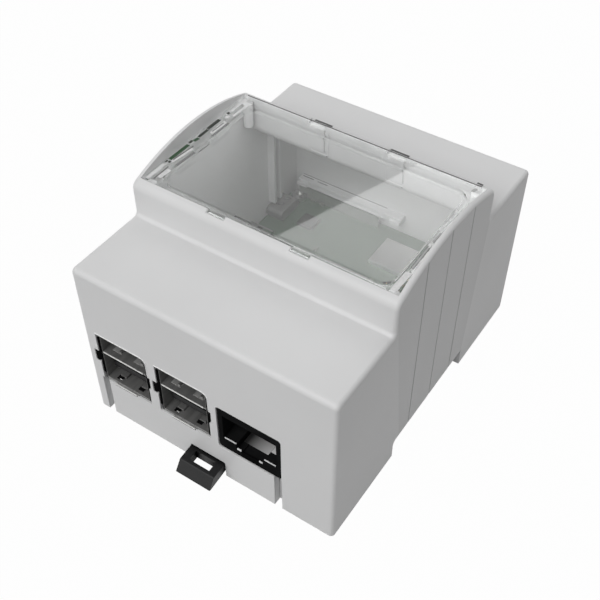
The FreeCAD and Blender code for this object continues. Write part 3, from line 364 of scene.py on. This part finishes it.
shellLook = {
    "low": 0.42,
    "high": 0.56,
    "tint": (1.0, 0.995, 0.98),
    "markScale": 900.0,
    "markStretch": (1.0, 0.12, 1.0),
    "markStrength": 0.25,
    "markDepth": 0.00002,
    "metal": 1.0,
    "roughLow": 0.24,
    "roughHigh": 0.38,
    "edgeRadius": 0.00015,
}
dataShellLook = dict(shellLook, low=0.2, high=0.27, metal=0.55, roughLow=0.34, roughHigh=0.46)
flareShadeLook = {"outOf": 0.00674, "dark": (0.006, 0.006, 0.006)}  # painted shade, black from this far off the centre


def shellWithShadedFlares(name, centre, look, flare):
    # The flares at both sides of the mouth are painted black as shade in the gap
    made = sheetMetal(name, look)
    tree = made.node_tree
    shader = tree.nodes["Principled BSDF"]
    across = addNode(tree, "ShaderNodeSeparateXYZ")
    tree.links.new(objectPoint(tree), across.inputs["Vector"])
    aside = addNode(tree, "ShaderNodeMath", operation="SUBTRACT")
    aside.inputs[1].default_value = centre
    tree.links.new(across.outputs["X"], aside.inputs[0])
    distance = addNode(tree, "ShaderNodeMath", operation="ABSOLUTE")
    tree.links.new(aside.outputs["Value"], distance.inputs[0])
    outside = addNode(tree, "ShaderNodeMath", operation="GREATER_THAN")
    outside.inputs[1].default_value = flare["outOf"]
    tree.links.new(distance.outputs["Value"], outside.inputs[0])
    pick = addNode(tree, "ShaderNodeMix", data_type="RGBA")
    pick.inputs["B"].default_value = (*flare["dark"], 1)
    tree.links.new(outside.outputs["Value"], pick.inputs["Factor"])
    tree.links.new(shader.inputs["Base Color"].links[0].from_socket, pick.inputs["A"])
    tree.links.new(pick.outputs["Result"], shader.inputs["Base Color"])
    return made


socketCentres = {"left": -0.0243, "right": -0.0063}
for side, centre in socketCentres.items():
    steel = shellWithShadedFlares(f"shellSteel{side.title()}", centre, dataShellLook, flareShadeLook)
    dress([f"data_shell_{side}"], steel)
socketLook = dict(shellLook, low=0.2, high=0.27, metal=0.35, roughLow=0.4, roughHigh=0.5)
socketSteel = sheetMetal("socketSteel", socketLook)
dress(["power_socket", "video_socket_front", "video_socket_rear", "card_slot"], socketSteel)
screwLook = dict(shellLook, low=0.5, high=0.6, markStretch=(1.0, 1.0, 0.2), roughLow=0.2, roughHigh=0.3)
dress(["board_screws"], sheetMetal("screwSteel", screwLook))
blastedLook = dict(shellLook, markStretch=(1.0, 1.0, 1.0))  # marks that run no special way
spreaderLook = dict(blastedLook, low=0.5, high=0.58, markScale=500.0, roughLow=0.3, roughHigh=0.4)
dress(["processor"], sheetMetal("spreaderMetal", spreaderLook))
shieldLook = dict(blastedLook, low=0.6, high=0.68, markScale=400.0, roughLow=0.28, roughHigh=0.36)
dress(["radio_shield"], sheetMetal("shieldMetal", shieldLook))
brassTint = (1.0, 0.8, 0.45)
brassLook = dict(shellLook, low=0.6, high=0.75, tint=brassTint, roughLow=0.18, roughHigh=0.3)
brassLook["markScale"] = 1500.0
dress(["lan_contacts", "header_pins"], sheetMetal("contactBrass", brassLook))
print("metals dressed")


# Board: green solder mask over copper runs

boardLook = {
    "mask": (0.086, 0.141, 0.092),
    "copper": (0.094, 0.15, 0.1),
    "runScale": 420.0,
    "runWidth": 0.12,
    "roughLow": 0.28,
    "roughHigh": 0.4,
    "runDepth": 0.00004,
    "runStrength": 0.12,
    "weaveScale": 1800.0,
}


def boardLaminate(look):
    made, tree, shader = startMaterial("boardLaminate")
    point = objectPoint(tree)
    cells = addNode(tree, "ShaderNodeTexVoronoi", distance="MANHATTAN", feature="DISTANCE_TO_EDGE")
    cells.inputs["Scale"].default_value = look["runScale"]
    tree.links.new(point, cells.inputs["Vector"])
    runs = addNode(tree, "ShaderNodeMath", operation="LESS_THAN")
    runs.inputs[1].default_value = look["runWidth"]
    tree.links.new(cells.outputs["Distance"], runs.inputs[0])
    tree.links.new(
        rampBetween(tree, runs.outputs["Value"], look["mask"], look["copper"], 0.0, 1.0),
        shader.inputs["Base Color"],
    )
    weave = noise(tree, look["weaveScale"])
    tree.links.new(spread(tree, weave, look["roughLow"], look["roughHigh"]), shader.inputs["Roughness"])
    bump(tree, shader, runs.outputs["Value"], look["runStrength"], look["runDepth"])
    return made


dress(["main_board"], boardLaminate(boardLook))

smallPartLook = dict(coverLook, tint=(0.9, 1.0, 0.8), blotchScale=700.0, edgeRadius=0.00005)
passiveLook = dict(smallPartLook, grey=0.13, blotch=0.15)
dress(["passives"], mouldedPlastic("passiveCeramic", passiveLook))
lampLook = dict(smallPartLook, grey=0.2)
dress(["status_leds"], mouldedPlastic("ledResin", lampLook))
print("board dressed")


# Small parts that the solids leave out, each carried by a body; sizes and places in mm

def addPiece(name, mesh, material, body):
    piece = bpy.data.objects.new(name, mesh)
    scene.collection.objects.link(piece)
    piece.data.materials.append(material)
    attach(piece, body)


def closeMesh(name, shape):
    mesh = bpy.data.meshes.new(name)
    shape.to_mesh(mesh)
    shape.free()
    return mesh


def softenEdges(shape, width, segments):
    bmesh.ops.bevel(
        shape,
        geom=list(shape.edges),
        offset=width / mmPerMetre,
        segments=segments,
        affect="EDGES",
        clamp_overlap=True,
    )


def rectangle(across, upward):
    (left, right), (low, high) = across, upward
    return [(left, low), (right, low), (right, high), (left, high)]


def pushedStrips(name, outlines, depths, softening):
    # Closed outlines in the X-Z plane, pushed along Y and rounded at the edges
    shape = bmesh.new()
    for outline, (near, far) in zip(outlines, depths):
        loop = [shape.verts.new((x / mmPerMetre, near / mmPerMetre, z / mmPerMetre)) for x, z in outline]
        face = shape.faces.new(loop)
        pushed = bmesh.ops.extrude_face_region(shape, geom=[face])["geom"]
        corners = [part for part in pushed if isinstance(part, bmesh.types.BMVert)]
        bmesh.ops.translate(shape, verts=corners, vec=(0, (far - near) / mmPerMetre, 0))
    bmesh.ops.recalc_face_normals(shape, faces=shape.faces)
    softenEdges(shape, softening, segments=2)
    return closeMesh(name, shape)


def ribbonMesh(name, ribbons, thick):
    # Thin flat plates, each from a start to an end point with a width
    shape = bmesh.new()
    for start, end, width in ribbons:
        first = Vector(start) / mmPerMetre
        last = Vector(end) / mmPerMetre
        along = (last - first).normalized()
        out = along.cross(Vector((0, 0, 1))).normalized() * width / 2 / mmPerMetre
        up = Vector((0, 0, thick / mmPerMetre))
        base = [first - out, last - out, last + out, first + out]
        lower = [shape.verts.new(point) for point in base]
        upper = [shape.verts.new(point + up) for point in base]
        shape.faces.new(lower[::-1])
        shape.faces.new(upper)
        for side in range(4):
            after = (side + 1) % 4
            shape.faces.new((lower[side], lower[after], upper[after], upper[side]))
    softenEdges(shape, thick / 5, segments=1)
    return closeMesh(name, shape)


flatLook = {"patchScale": 1400.0, "roughness": 0.45, "variation": 0.12}


def flatTone(name, colour, variation=flatLook["variation"]):
    # A plain moulded tone with faint patches, for the smallest parts
    made, tree, shader = startMaterial(name)
    patches = noise(tree, flatLook["patchScale"])
    low, high = (tone(share, colour) for share in (1 - variation, 1 + variation))
    tree.links.new(rampBetween(tree, patches, low, high), shader.inputs["Base Color"])
    shader.inputs["Roughness"].default_value = flatLook["roughness"]
    return made


# Clips that sit in the ears left of the data sockets, coloured near-black as painted shade in the ears
clipLook = {
    "grey": 0.006,
    "openingHalf": 7.6,
    "low": 13.3,
    "outline": [
        (-1.25, 0.0),
        (-0.55, 0.0),
        (-0.35, 0.5),
        (0.35, 0.5),
        (0.35, 3.5),
        (-0.55, 3.8),
        (-1.25, 3.8),
    ],
    "depth": (-44.86, -43.2),
    "softening": 0.08,
}
# Near-black for painted shade, also used for the dark seams, slots and sills
paintedShadeBlack = mouldedPlastic("paintedShadeBlack", dict(jackLook, grey=clipLook["grey"]))
outlines = []
for centre in socketCentres.values():
    start = centre * mmPerMetre - clipLook["openingHalf"]
    outlines.append([(start + x, clipLook["low"] + z) for x, z in clipLook["outline"]])
depths = [clipLook["depth"]] * len(outlines)
clipMesh = pushedStrips("earClips", outlines, depths, clipLook["softening"])
addPiece("earClips", clipMesh, paintedShadeBlack, "housing")

# At the mouths of the data sockets, from each socket's centre: painted shade as dark seams, slots and sills,
# springs, and painted highlight as bright lips and glints
mouthLook = {
    "seams": [
        {"x": (-7.52, -6.92), "z": (9.4, 22.1), "y": (-44.8, -44.62)},
        {"x": (7.02, 7.5), "z": (8.2, 21.4), "y": (-44.8, -44.62)},
    ],
    "slots": [
        {"x": (-4.5, -2.9), "z": (7.9, 7.93), "y": (-43.9, -41.3)},
        {"x": (2.2, 3.8), "z": (7.9, 7.93), "y": (-43.7, -42.4)},
    ],
    "springs": [
        {"x": (-4.75, -3.0), "z": (17.66, 17.72), "y": (-43.2, -41.6)},
        {"x": (1.95, 3.6), "z": (17.66, 17.72), "y": (-43.3, -41.5)},
    ],
    "lips": [
        {"x": (-6.4, 5.9), "z": (17.02, 17.34), "y": (-44.72, -44.5)},
        {"x": (-3.95, 3.0), "z": (7.14, 7.45), "y": (-45.2, -44.9)},
    ],
    "glints": [{"x": (-3.7, -2.9), "z": (7.94, 8.0), "y": (-43.75, -43.5)}],
    "sills": [{"x": (-3.95, 3.0), "z": (6.85, 7.12), "y": (-45.12, -44.9)}],
}
mouthSoftening = 0.01


def stripsAt(name, strips, centres):
    # The same strips at each socket
    outlines = []
    depths = []
    for centre in centres:
        for strip in strips:
            across = [centre * mmPerMetre + x for x in strip["x"]]
            outlines.append(rectangle(across, strip["z"]))
            depths.append(strip["y"])
    return pushedStrips(name, outlines, depths, mouthSoftening)


springSteel = sheetMetal("springSteel", dict(shellLook, low=0.36, high=0.44, metal=0.3))
# Pale steel for the painted highlight of the lips and glints
highlightSteel = sheetMetal("highlightSteel", dict(shellLook, low=0.8, high=0.9, metal=0.2))
mouthMaterials = {
    "seams": paintedShadeBlack,
    "slots": paintedShadeBlack,
    "springs": springSteel,
    "lips": highlightSteel,
    "glints": highlightSteel,
    "sills": paintedShadeBlack,
}
for part, material in mouthMaterials.items():
    mesh = stripsAt(part, mouthLook[part], socketCentres.values())
    addPiece(part, mesh, material, "housing")

# Pale lining on the floor of the lan cavity, with painted shade that darkens it towards the left
liningLook = {
    "dark": (0.02, 0.02, 0.02),
    "light": (0.75, 0.75, 0.75),
    "from": 9.5,
    "to": 16.8,
    "roughness": 0.5,
    "depth": (-41.9, -33.0),
    "strips": [((8.65, 16.25), (7.92, 8.04)), ((16.45, 19.8), (9.82, 9.94))],
    "softening": 0.02,
}


def shadedLining(look):
    made, tree, shader = startMaterial("shadedLining")
    across = addNode(tree, "ShaderNodeSeparateXYZ")
    tree.links.new(objectPoint(tree), across.inputs["Vector"])
    # Painted shade: the colour runs from dark on the left to pale on the right
    share = addNode(tree, "ShaderNodeMapRange")
    share.inputs["From Min"].default_value = look["from"] / mmPerMetre
    share.inputs["From Max"].default_value = look["to"] / mmPerMetre
    tree.links.new(across.outputs["X"], share.inputs["Value"])
    colour = rampBetween(tree, share.outputs["Result"], look["dark"], look["light"], 0.0, 1.0)
    tree.links.new(colour, shader.inputs["Base Color"])
    shader.inputs["Roughness"].default_value = look["roughness"]
    return made


outlines = [rectangle(*strip) for strip in liningLook["strips"]]
depths = [liningLook["depth"]] * len(outlines)
liningMesh = pushedStrips("lanLining", outlines, depths, liningLook["softening"])
addPiece("lanLining", liningMesh, shadedLining(liningLook), "housing")

# Snap details along the plate's edges as they show through it, painted as flat dark and pale ribbons on top
# of it: painted refraction and reflection in the plate's edges.
# Each ribbon is a start, an end and a width, read off the photo through its camera and rounded.
plateTop = 52.91
ribbonThick = 0.03
snapRefractionLook = {
    "green": {
        "tone": (0.025, 0.07, 0.03),
        "level": plateTop,
        "ribbons": [((-32.9, -11.2), (-32.75, -4.4), 0.95), ((-32.6, -2.5), (-32.3, -0.9), 0.9)],
    },
    "black": {
        "tone": (0.025, 0.03, 0.025),
        "level": plateTop,
        "ribbons": [
            ((-32.6, -0.6), (-32.6, 3.0), 0.8),
            ((-32.8, 3.2), (-32.7, 7.9), 0.95),
            ((-33.0, -3.7), (-33.0, -2.5), 0.7),
            ((-33.1, -12.6), (-33.1, -11.8), 0.45),
            ((-32.4, -12.3), (-32.3, -11.6), 0.7),
            ((-32.6, 10.9), (-32.4, 11.7), 0.8),
            ((-33.0, -19.9), (-32.2, -19.9), 0.3),
        ],
    },
    "bar": {
        "tone": (0.2, 0.2, 0.2),
        "level": plateTop,
        "ribbons": [((-30.2, -12.1), (-29.7, -5.9), 0.7), ((-30.1, 1.4), (-30.0, 8.0), 0.65)],
    },
    "fill": {
        "tone": (0.42, 0.42, 0.42),
        "level": plateTop,
        "ribbons": [
            ((32.5, -11.9), (32.3, -4.3), 0.42),
            ((32.2, -2.2), (32.3, 1.3), 0.42),
            ((31.7, 17.7), (32.0, 19.0), 0.8),
        ],
    },
    "pale": {
        "tone": (0.72, 0.72, 0.72),
        "level": plateTop,
        "ribbons": [
            ((-31.9, -11.8), (-31.1, -5.0), 0.85),
            ((-31.1, 2.3), (-30.9, 8.0), 0.9),
            ((-32.9, -19.4), (-32.8, -13.3), 0.85),
            ((-30.7, -17.9), (-30.5, -14.2), 1.1),
            ((-31.8, 9.3), (-31.6, 10.5), 0.9),
            ((-30.8, 10.9), (-30.5, 16.7), 0.7),
            ((-32.4, 12.2), (-32.2, 18.6), 0.5),
            ((32.45, -19.6), (32.55, -13.3), 1.5),
            ((32.0, -3.9), (32.3, -3.0), 0.6),
            ((31.7, 1.8), (32.0, 2.5), 0.6),
            ((31.7, 2.5), (32.1, 6.9), 0.36),
            ((32.0, 8.5), (31.8, 10.2), 0.59),
        ],
    },
    "grey": {
        "tone": (0.12, 0.12, 0.12),
        "level": plateTop + 0.035,  # over the pale ones
        "ribbons": [
            ((-32.1, -10.9), (-31.4, -4.1), 0.3),
            ((-28.9, -5.4), (-28.7, -1.3), 0.14),
            ((-31.4, -19.0), (-31.4, -13.6), 0.3),
            ((-31.2, 3.0), (-31.0, 7.4), 0.25),
            ((32.8, -11.9), (32.6, -4.3), 0.13),
            ((32.2, -11.8), (32.0, -4.2), 0.13),
            ((32.5, -2.7), (32.6, 1.7), 0.13),
        ],
    },
}


def atLevel(ribbons, level):
    return [((*start, level), (*end, level), width) for start, end, width in ribbons]


# Each tone is painted refraction and reflection, laid flat on the plate
for part, look in snapRefractionLook.items():
    name = f"snap{part.title()}"
    mesh = ribbonMesh(name, atLevel(look["ribbons"], look["level"]), ribbonThick)
    addPiece(name, mesh, flatTone(name, look["tone"]), "panel")

# Thin pale edges of the clear legs under the rear tabs as painted highlight, with a small dark foot at one
# corner
legLook = {
    "centres": (-11.1, 10.5),
    "half": 2.4,
    "y": (20.1, 20.22),
    "z": (43.7, 51.1),
    "line": 0.1,
    "foot": 0.4,
    "footGap": 0.02,
    "softening": 0.02,
    "footSoftening": 0.03,
    "tone": (0.75, 0.75, 0.75),
    "footTone": (0.08, 0.08, 0.08),
}
legs = []
feet = []
low, high = legLook["z"]
line, foot = legLook["line"], legLook["foot"]
for centre in legLook["centres"]:
    left = centre - legLook["half"]
    right = centre + legLook["half"]
    for x in (left, right):
        legs.append(rectangle((x - line / 2, x + line / 2), (low, high)))
    legs.append(rectangle((left + line, right - line), (low, low + line)))
    feet.append(rectangle((right - foot, right), (low - foot, low - legLook["footGap"])))
legMesh = pushedStrips("tabLegs", legs, [legLook["y"]] * len(legs), legLook["softening"])
addPiece("tabLegs", legMesh, flatTone("legHighlight", legLook["tone"]), "panel")
footMesh = pushedStrips("tabFeet", feet, [legLook["y"]] * len(feet), legLook["footSoftening"])
addPiece("tabFeet", footMesh, flatTone("footGrey", legLook["footTone"]), "panel")

# Painted shade: the shadow gap behind the plate, dark slots behind the rear tabs and dark lines on the rear
# shelf; painted highlight as a pale lip on the shelf, and painted shade as a dark strip under it
gapLook = {
    "darkTone": (0.05, 0.05, 0.05),
    "plateLines": [
        ((-33.0, 20.3), (32.8, 20.3), 0.3),
        ((31.2, 21.1), (32.7, 21.0), 0.5),
        ((-13.0, 20.95), (-8.0, 20.95), 0.6),
        ((8.5, 20.95), (13.5, 20.95), 0.6),
    ],
    "shelfLines": [
        ((-30.9, 42.85, 13.42), (-2.7, 42.85, 13.42), 0.16),
        ((-2.7, 42.85, 13.42), (2.9, 42.0, 12.75), 0.16),
        ((-30.5, 42.0, 13.42), (-26.8, 42.0, 13.42), 0.25),
        ((-25.3, 41.9, 13.42), (-21.9, 41.9, 13.42), 0.2),
    ],
    "lip": {"ribbon": ((-29.9, 40.33, 11.65), (-2.2, 40.33, 11.65), 0.2), "thick": 0.35},
    "lipTone": (0.9, 0.9, 0.9),
    "lipVariation": 0.02,
    "under": {"x": (-30.6, -3.4), "z": (7.35, 11.4), "y": (40.16, 40.24), "softening": 0.02},
    "underTone": (0.2, 0.225, 0.2),
}
darkLines = atLevel(gapLook["plateLines"], plateTop) + gapLook["shelfLines"]
darkMesh = ribbonMesh("shadowLines", darkLines, ribbonThick)
addPiece("shadowLines", darkMesh, flatTone("gapGrey", gapLook["darkTone"]), "housing")
lipMesh = ribbonMesh("shelfLip", [gapLook["lip"]["ribbon"]], gapLook["lip"]["thick"])
lipHighlight = flatTone("lipHighlight", gapLook["lipTone"], gapLook["lipVariation"])
addPiece("shelfLip", lipMesh, lipHighlight, "housing")
under = gapLook["under"]
underMesh = pushedStrips("shelfUnder", [rectangle(under["x"], under["z"])], [under["y"]], under["softening"])
addPiece("shelfUnder", underMesh, flatTone("underShade", gapLook["underTone"]), "housing")

# Two raised marks on the power socket's lid, each with a pad
markLook = {
    "thick": 0.05,
    "lidMarks": {
        "material": "markDark",
        "tone": (0.07, 0.07, 0.07),
        "level": 10.5,
        "ribbons": [((-30.9, 32.6), (-29.7, 34.2), 0.9), ((-31.1, 29.8), (-30.0, 31.3), 0.9)],
    },
    "lidPads": {
        "material": "markLight",
        "tone": (0.3, 0.3, 0.3),
        "level": 10.54,
        "ribbons": [((-30.7, 32.9), (-29.95, 33.9), 0.4), ((-30.9, 30.1), (-30.25, 31.0), 0.4)],
    },
}
for name in ("lidMarks", "lidPads"):
    look = markLook[name]
    mesh = ribbonMesh(name, atLevel(look["ribbons"], look["level"]), markLook["thick"])
    addPiece(name, mesh, flatTone(look["material"], look["tone"]), "housing")
print("clips, lining, panel and shelf details added")


# Painted highlight on the moulding edges over the data openings of the front wall, as a low pale band
rimLook = {
    "grey": 0.95,
    "blotch": 0.01,
    "width": 0.26,
    "rise": 0.14,
    "profile": ((0.0, 0.0), (0.1, 0.8), (0.5, 1.0), (0.9, 0.7), (1.0, 0.0)),  # shares of width and rise
    "face": -45.0,
    "leftLow": 17.6,
    "rightLow": 18.0,
    "high": 23.5,
    "openingHalf": 7.6,
    "corner": 1.6,
    "cornerSteps": 6,
}


def edgeFrame(name, outlines, look):
    # A low band outside each open outline on the front face
    shape = bmesh.new()
    for outline in outlines:
        rows = []
        for place, (x, z) in enumerate(outline):
            before = Vector(outline[max(place - 1, 0)])
            after = Vector(outline[min(place + 1, len(outline) - 1)])
            along = (after - before).normalized()
            out = Vector((-along.y, along.x)) * look["width"]
            row = []
            for share, rise in look["profile"]:
                y = look["face"] - look["rise"] * rise
                corner = Vector((x + out.x * share, y, z + out.y * share))
                row.append(shape.verts.new(corner / mmPerMetre))
            rows.append(row)
        for first, second in zip(rows, rows[1:]):
            for step in range(len(look["profile"]) - 1):
                shape.faces.new((first[step], first[step + 1], second[step + 1], second[step]))
    bmesh.ops.recalc_face_normals(shape, faces=shape.faces)
    return closeMesh(name, shape)


def openingPath(middle, look):
    # Up the left side, over the top and down the right side, with an arc at the right corner
    left = middle - look["openingHalf"]
    right = middle + look["openingHalf"]
    high, corner = look["high"], look["corner"]
    points = [(left, look["leftLow"]), (left, look["rightLow"]), (left, high)]
    for step in range(look["cornerSteps"] + 1):
        turn = math.pi / 2 - step * math.pi / 2 / look["cornerSteps"]
        points.append((right - corner + corner * math.cos(turn), high - corner + corner * math.sin(turn)))
    points.append((right, look["rightLow"]))
    return points


rimOutlines = [openingPath(centre * mmPerMetre, rimLook) for centre in socketCentres.values()]
rimMesh = edgeFrame("openingRims", rimOutlines, rimLook)
rimHighlight = mouldedPlastic("rimHighlight", dict(coverLook, grey=rimLook["grey"], blotch=rimLook["blotch"]))
addPiece("openingRims", rimMesh, rimHighlight, "housing")

# Painted highlight as bright edges on the ledges at the lan mouth, and painted shade as its black sill
ledgeHighlightLook = {
    "grey": 0.85,
    "depth": (-44.66, -44.4),
    "strips": [
        ((5.2, 8.5), (9.82, 10.06)),
        ((8.7, 9.9), (7.92, 8.45)),
        ((16.4, 19.6), (9.82, 10.06)),
        ((14.9, 15.9), (7.92, 8.3)),
    ],
    "softening": 0.03,
    "sill": {"x": (10.0, 14.9), "z": (6.4, 7.95), "y": (-44.72, -44.3), "softening": 0.05},
}
outlines = [rectangle(*strip) for strip in ledgeHighlightLook["strips"]]
depths = [ledgeHighlightLook["depth"]] * len(outlines)
edgeMesh = pushedStrips("lanEdges", outlines, depths, ledgeHighlightLook["softening"])
sill = ledgeHighlightLook["sill"]
sillMesh = pushedStrips("lanSill", [rectangle(sill["x"], sill["z"])], [sill["y"]], sill["softening"])
addPiece("lanSill", sillMesh, paintedShadeBlack, "housing")
ledgeHighlight = mouldedPlastic("ledgeHighlight", dict(insertLook, grey=ledgeHighlightLook["grey"]))
addPiece("lanEdges", edgeMesh, ledgeHighlight, "housing")
print("opening rims and lan edges added")


# Floor and light

stageLook = {
    "floorHalf": 3.0,
    "floorLevel": solidLow.z - 0.00002,
    "floorGrey": 0.25,
    "floorVariation": 0.01,
    "floorGrain": 9.0,
    "floorRoughness": 0.9,
    "whiteShare": 0.985,  # how much of the floor's look is plain white
    "worldStrength": 0.22,
}


def addFloor(look):
    half = look["floorHalf"]
    shape = bpy.data.meshes.new("floor")
    corners = [(-half, -half, 0), (half, -half, 0), (half, half, 0), (-half, half, 0)]
    shape.from_pydata(corners, [], [(0, 1, 2, 3)])
    floor = bpy.data.objects.new("floor", shape)
    floor.location.z = look["floorLevel"]
    scene.collection.objects.link(floor)
    made, tree, shader = startMaterial("paleFloor")
    grain = noise(tree, look["floorGrain"])
    high = tone(look["floorGrey"])
    low = tone(look["floorGrey"] * (1 - look["floorVariation"]))
    tree.links.new(rampBetween(tree, grain, low, high), shader.inputs["Base Color"])
    shader.inputs["Roughness"].default_value = look["floorRoughness"]
    glow = addNode(tree, "ShaderNodeEmission")
    pick = addNode(tree, "ShaderNodeMixShader")
    tree.links.new(seenDirectly(tree, look["whiteShare"]), pick.inputs[0])
    tree.links.new(shader.outputs["BSDF"], pick.inputs[1])
    tree.links.new(glow.outputs["Emission"], pick.inputs[2])
    tree.links.new(pick.outputs["Shader"], tree.nodes["Material Output"].inputs["Surface"])
    floor.data.materials.append(made)


def seenDirectly(tree, share):
    # share for what the camera, a mirror or glass sees, and 0 for light on the object
    path = addNode(tree, "ShaderNodeLightPath")
    total = path.outputs["Is Camera Ray"]
    for name in ("Is Glossy Ray", "Is Transmission Ray"):
        more = addNode(tree, "ShaderNodeMath", operation="MAXIMUM")
        tree.links.new(total, more.inputs[0])
        tree.links.new(path.outputs[name], more.inputs[1])
        total = more.outputs["Value"]
    scaled = addNode(tree, "ShaderNodeMath", operation="MULTIPLY")
    scaled.inputs[1].default_value = share
    tree.links.new(total, scaled.inputs[0])
    return scaled.outputs["Value"]


def lightWorld(look):
    world = bpy.data.worlds.new("softRoom")
    scene.world = world
    world.use_nodes = True
    tree = world.node_tree
    background = tree.nodes["Background"]
    background.inputs["Color"].default_value = (1, 1, 1, 1)
    strength = addNode(tree, "ShaderNodeMapRange")
    strength.inputs["To Min"].default_value = look["worldStrength"]
    strength.inputs["To Max"].default_value = 1.0
    tree.links.new(seenDirectly(tree, 1.0), strength.inputs["Value"])
    tree.links.new(strength.outputs["Result"], background.inputs["Strength"])


caseMiddle = (0.0, 0.0, 0.03)
lamps = {
    "topBox": {
        "place": (-0.3215, 0.729, 1.0),
        "aim": (-0.3215, 0.729, 0.0),
        "turn": -19.1,
        "size": (0.6, 1.3),
        "glow": 1.45,
    },
    "keyBox": {"place": (-0.1, -1.0, 1.15), "aim": caseMiddle, "turn": 0.0, "size": (1.0, 1.0), "glow": 3.7},
    "frontBox": {
        "place": (-0.35, -1.6, 0.45),
        "aim": (0.0, 0.0, 0.02),
        "turn": 0.0,
        "size": (1.5, 0.8),
        "glow": 0.9,
    },
    "rightBox": {"place": (1.2, 0.35, 1.0), "aim": caseMiddle, "turn": 0.0, "size": (0.8, 0.8), "glow": 0.6},
}


def addLamps(plan):
    for name, look in plan.items():
        light = bpy.data.lights.new(name, "AREA")
        light.shape = "RECTANGLE"
        light.size, light.size_y = look["size"]
        light.energy = look["glow"] * math.pi * light.size * light.size_y  # glow is how bright its face is
        lamp = bpy.data.objects.new(name, light)
        lamp.location = look["place"]
        aim = Vector(look["aim"]) - Vector(look["place"])
        lamp.rotation_euler = aim.to_track_quat("-Z", "Y").to_euler()
        lamp.rotation_euler.rotate_axis("Z", math.radians(look["turn"]))
        scene.collection.objects.link(lamp)


addFloor(stageLook)
lightWorld(stageLook)
addLamps(lamps)
print("floor and light set")


# Camera where the photograph was taken from

shot = {
    "place": (0.0930, -0.1446, 0.1930),
    "ahead": (-0.3852, 0.5768, -0.7204),
    "lens": 57.714,
    "sensor": 36.0,
    "clip": (0.005, 20.0),
}


def addCamera(plan):
    data = bpy.data.cameras.new("shot")
    data.lens = plan["lens"]
    data.sensor_width = plan["sensor"]
    data.clip_start, data.clip_end = plan["clip"]
    camera = bpy.data.objects.new("shot", data)
    camera.location = plan["place"]
    camera.rotation_euler = Vector(plan["ahead"]).to_track_quat("-Z", "Y").to_euler()
    scene.collection.objects.link(camera)
    scene.camera = camera


addCamera(shot)
scene.view_settings.view_transform = "Standard"
print("camera set")
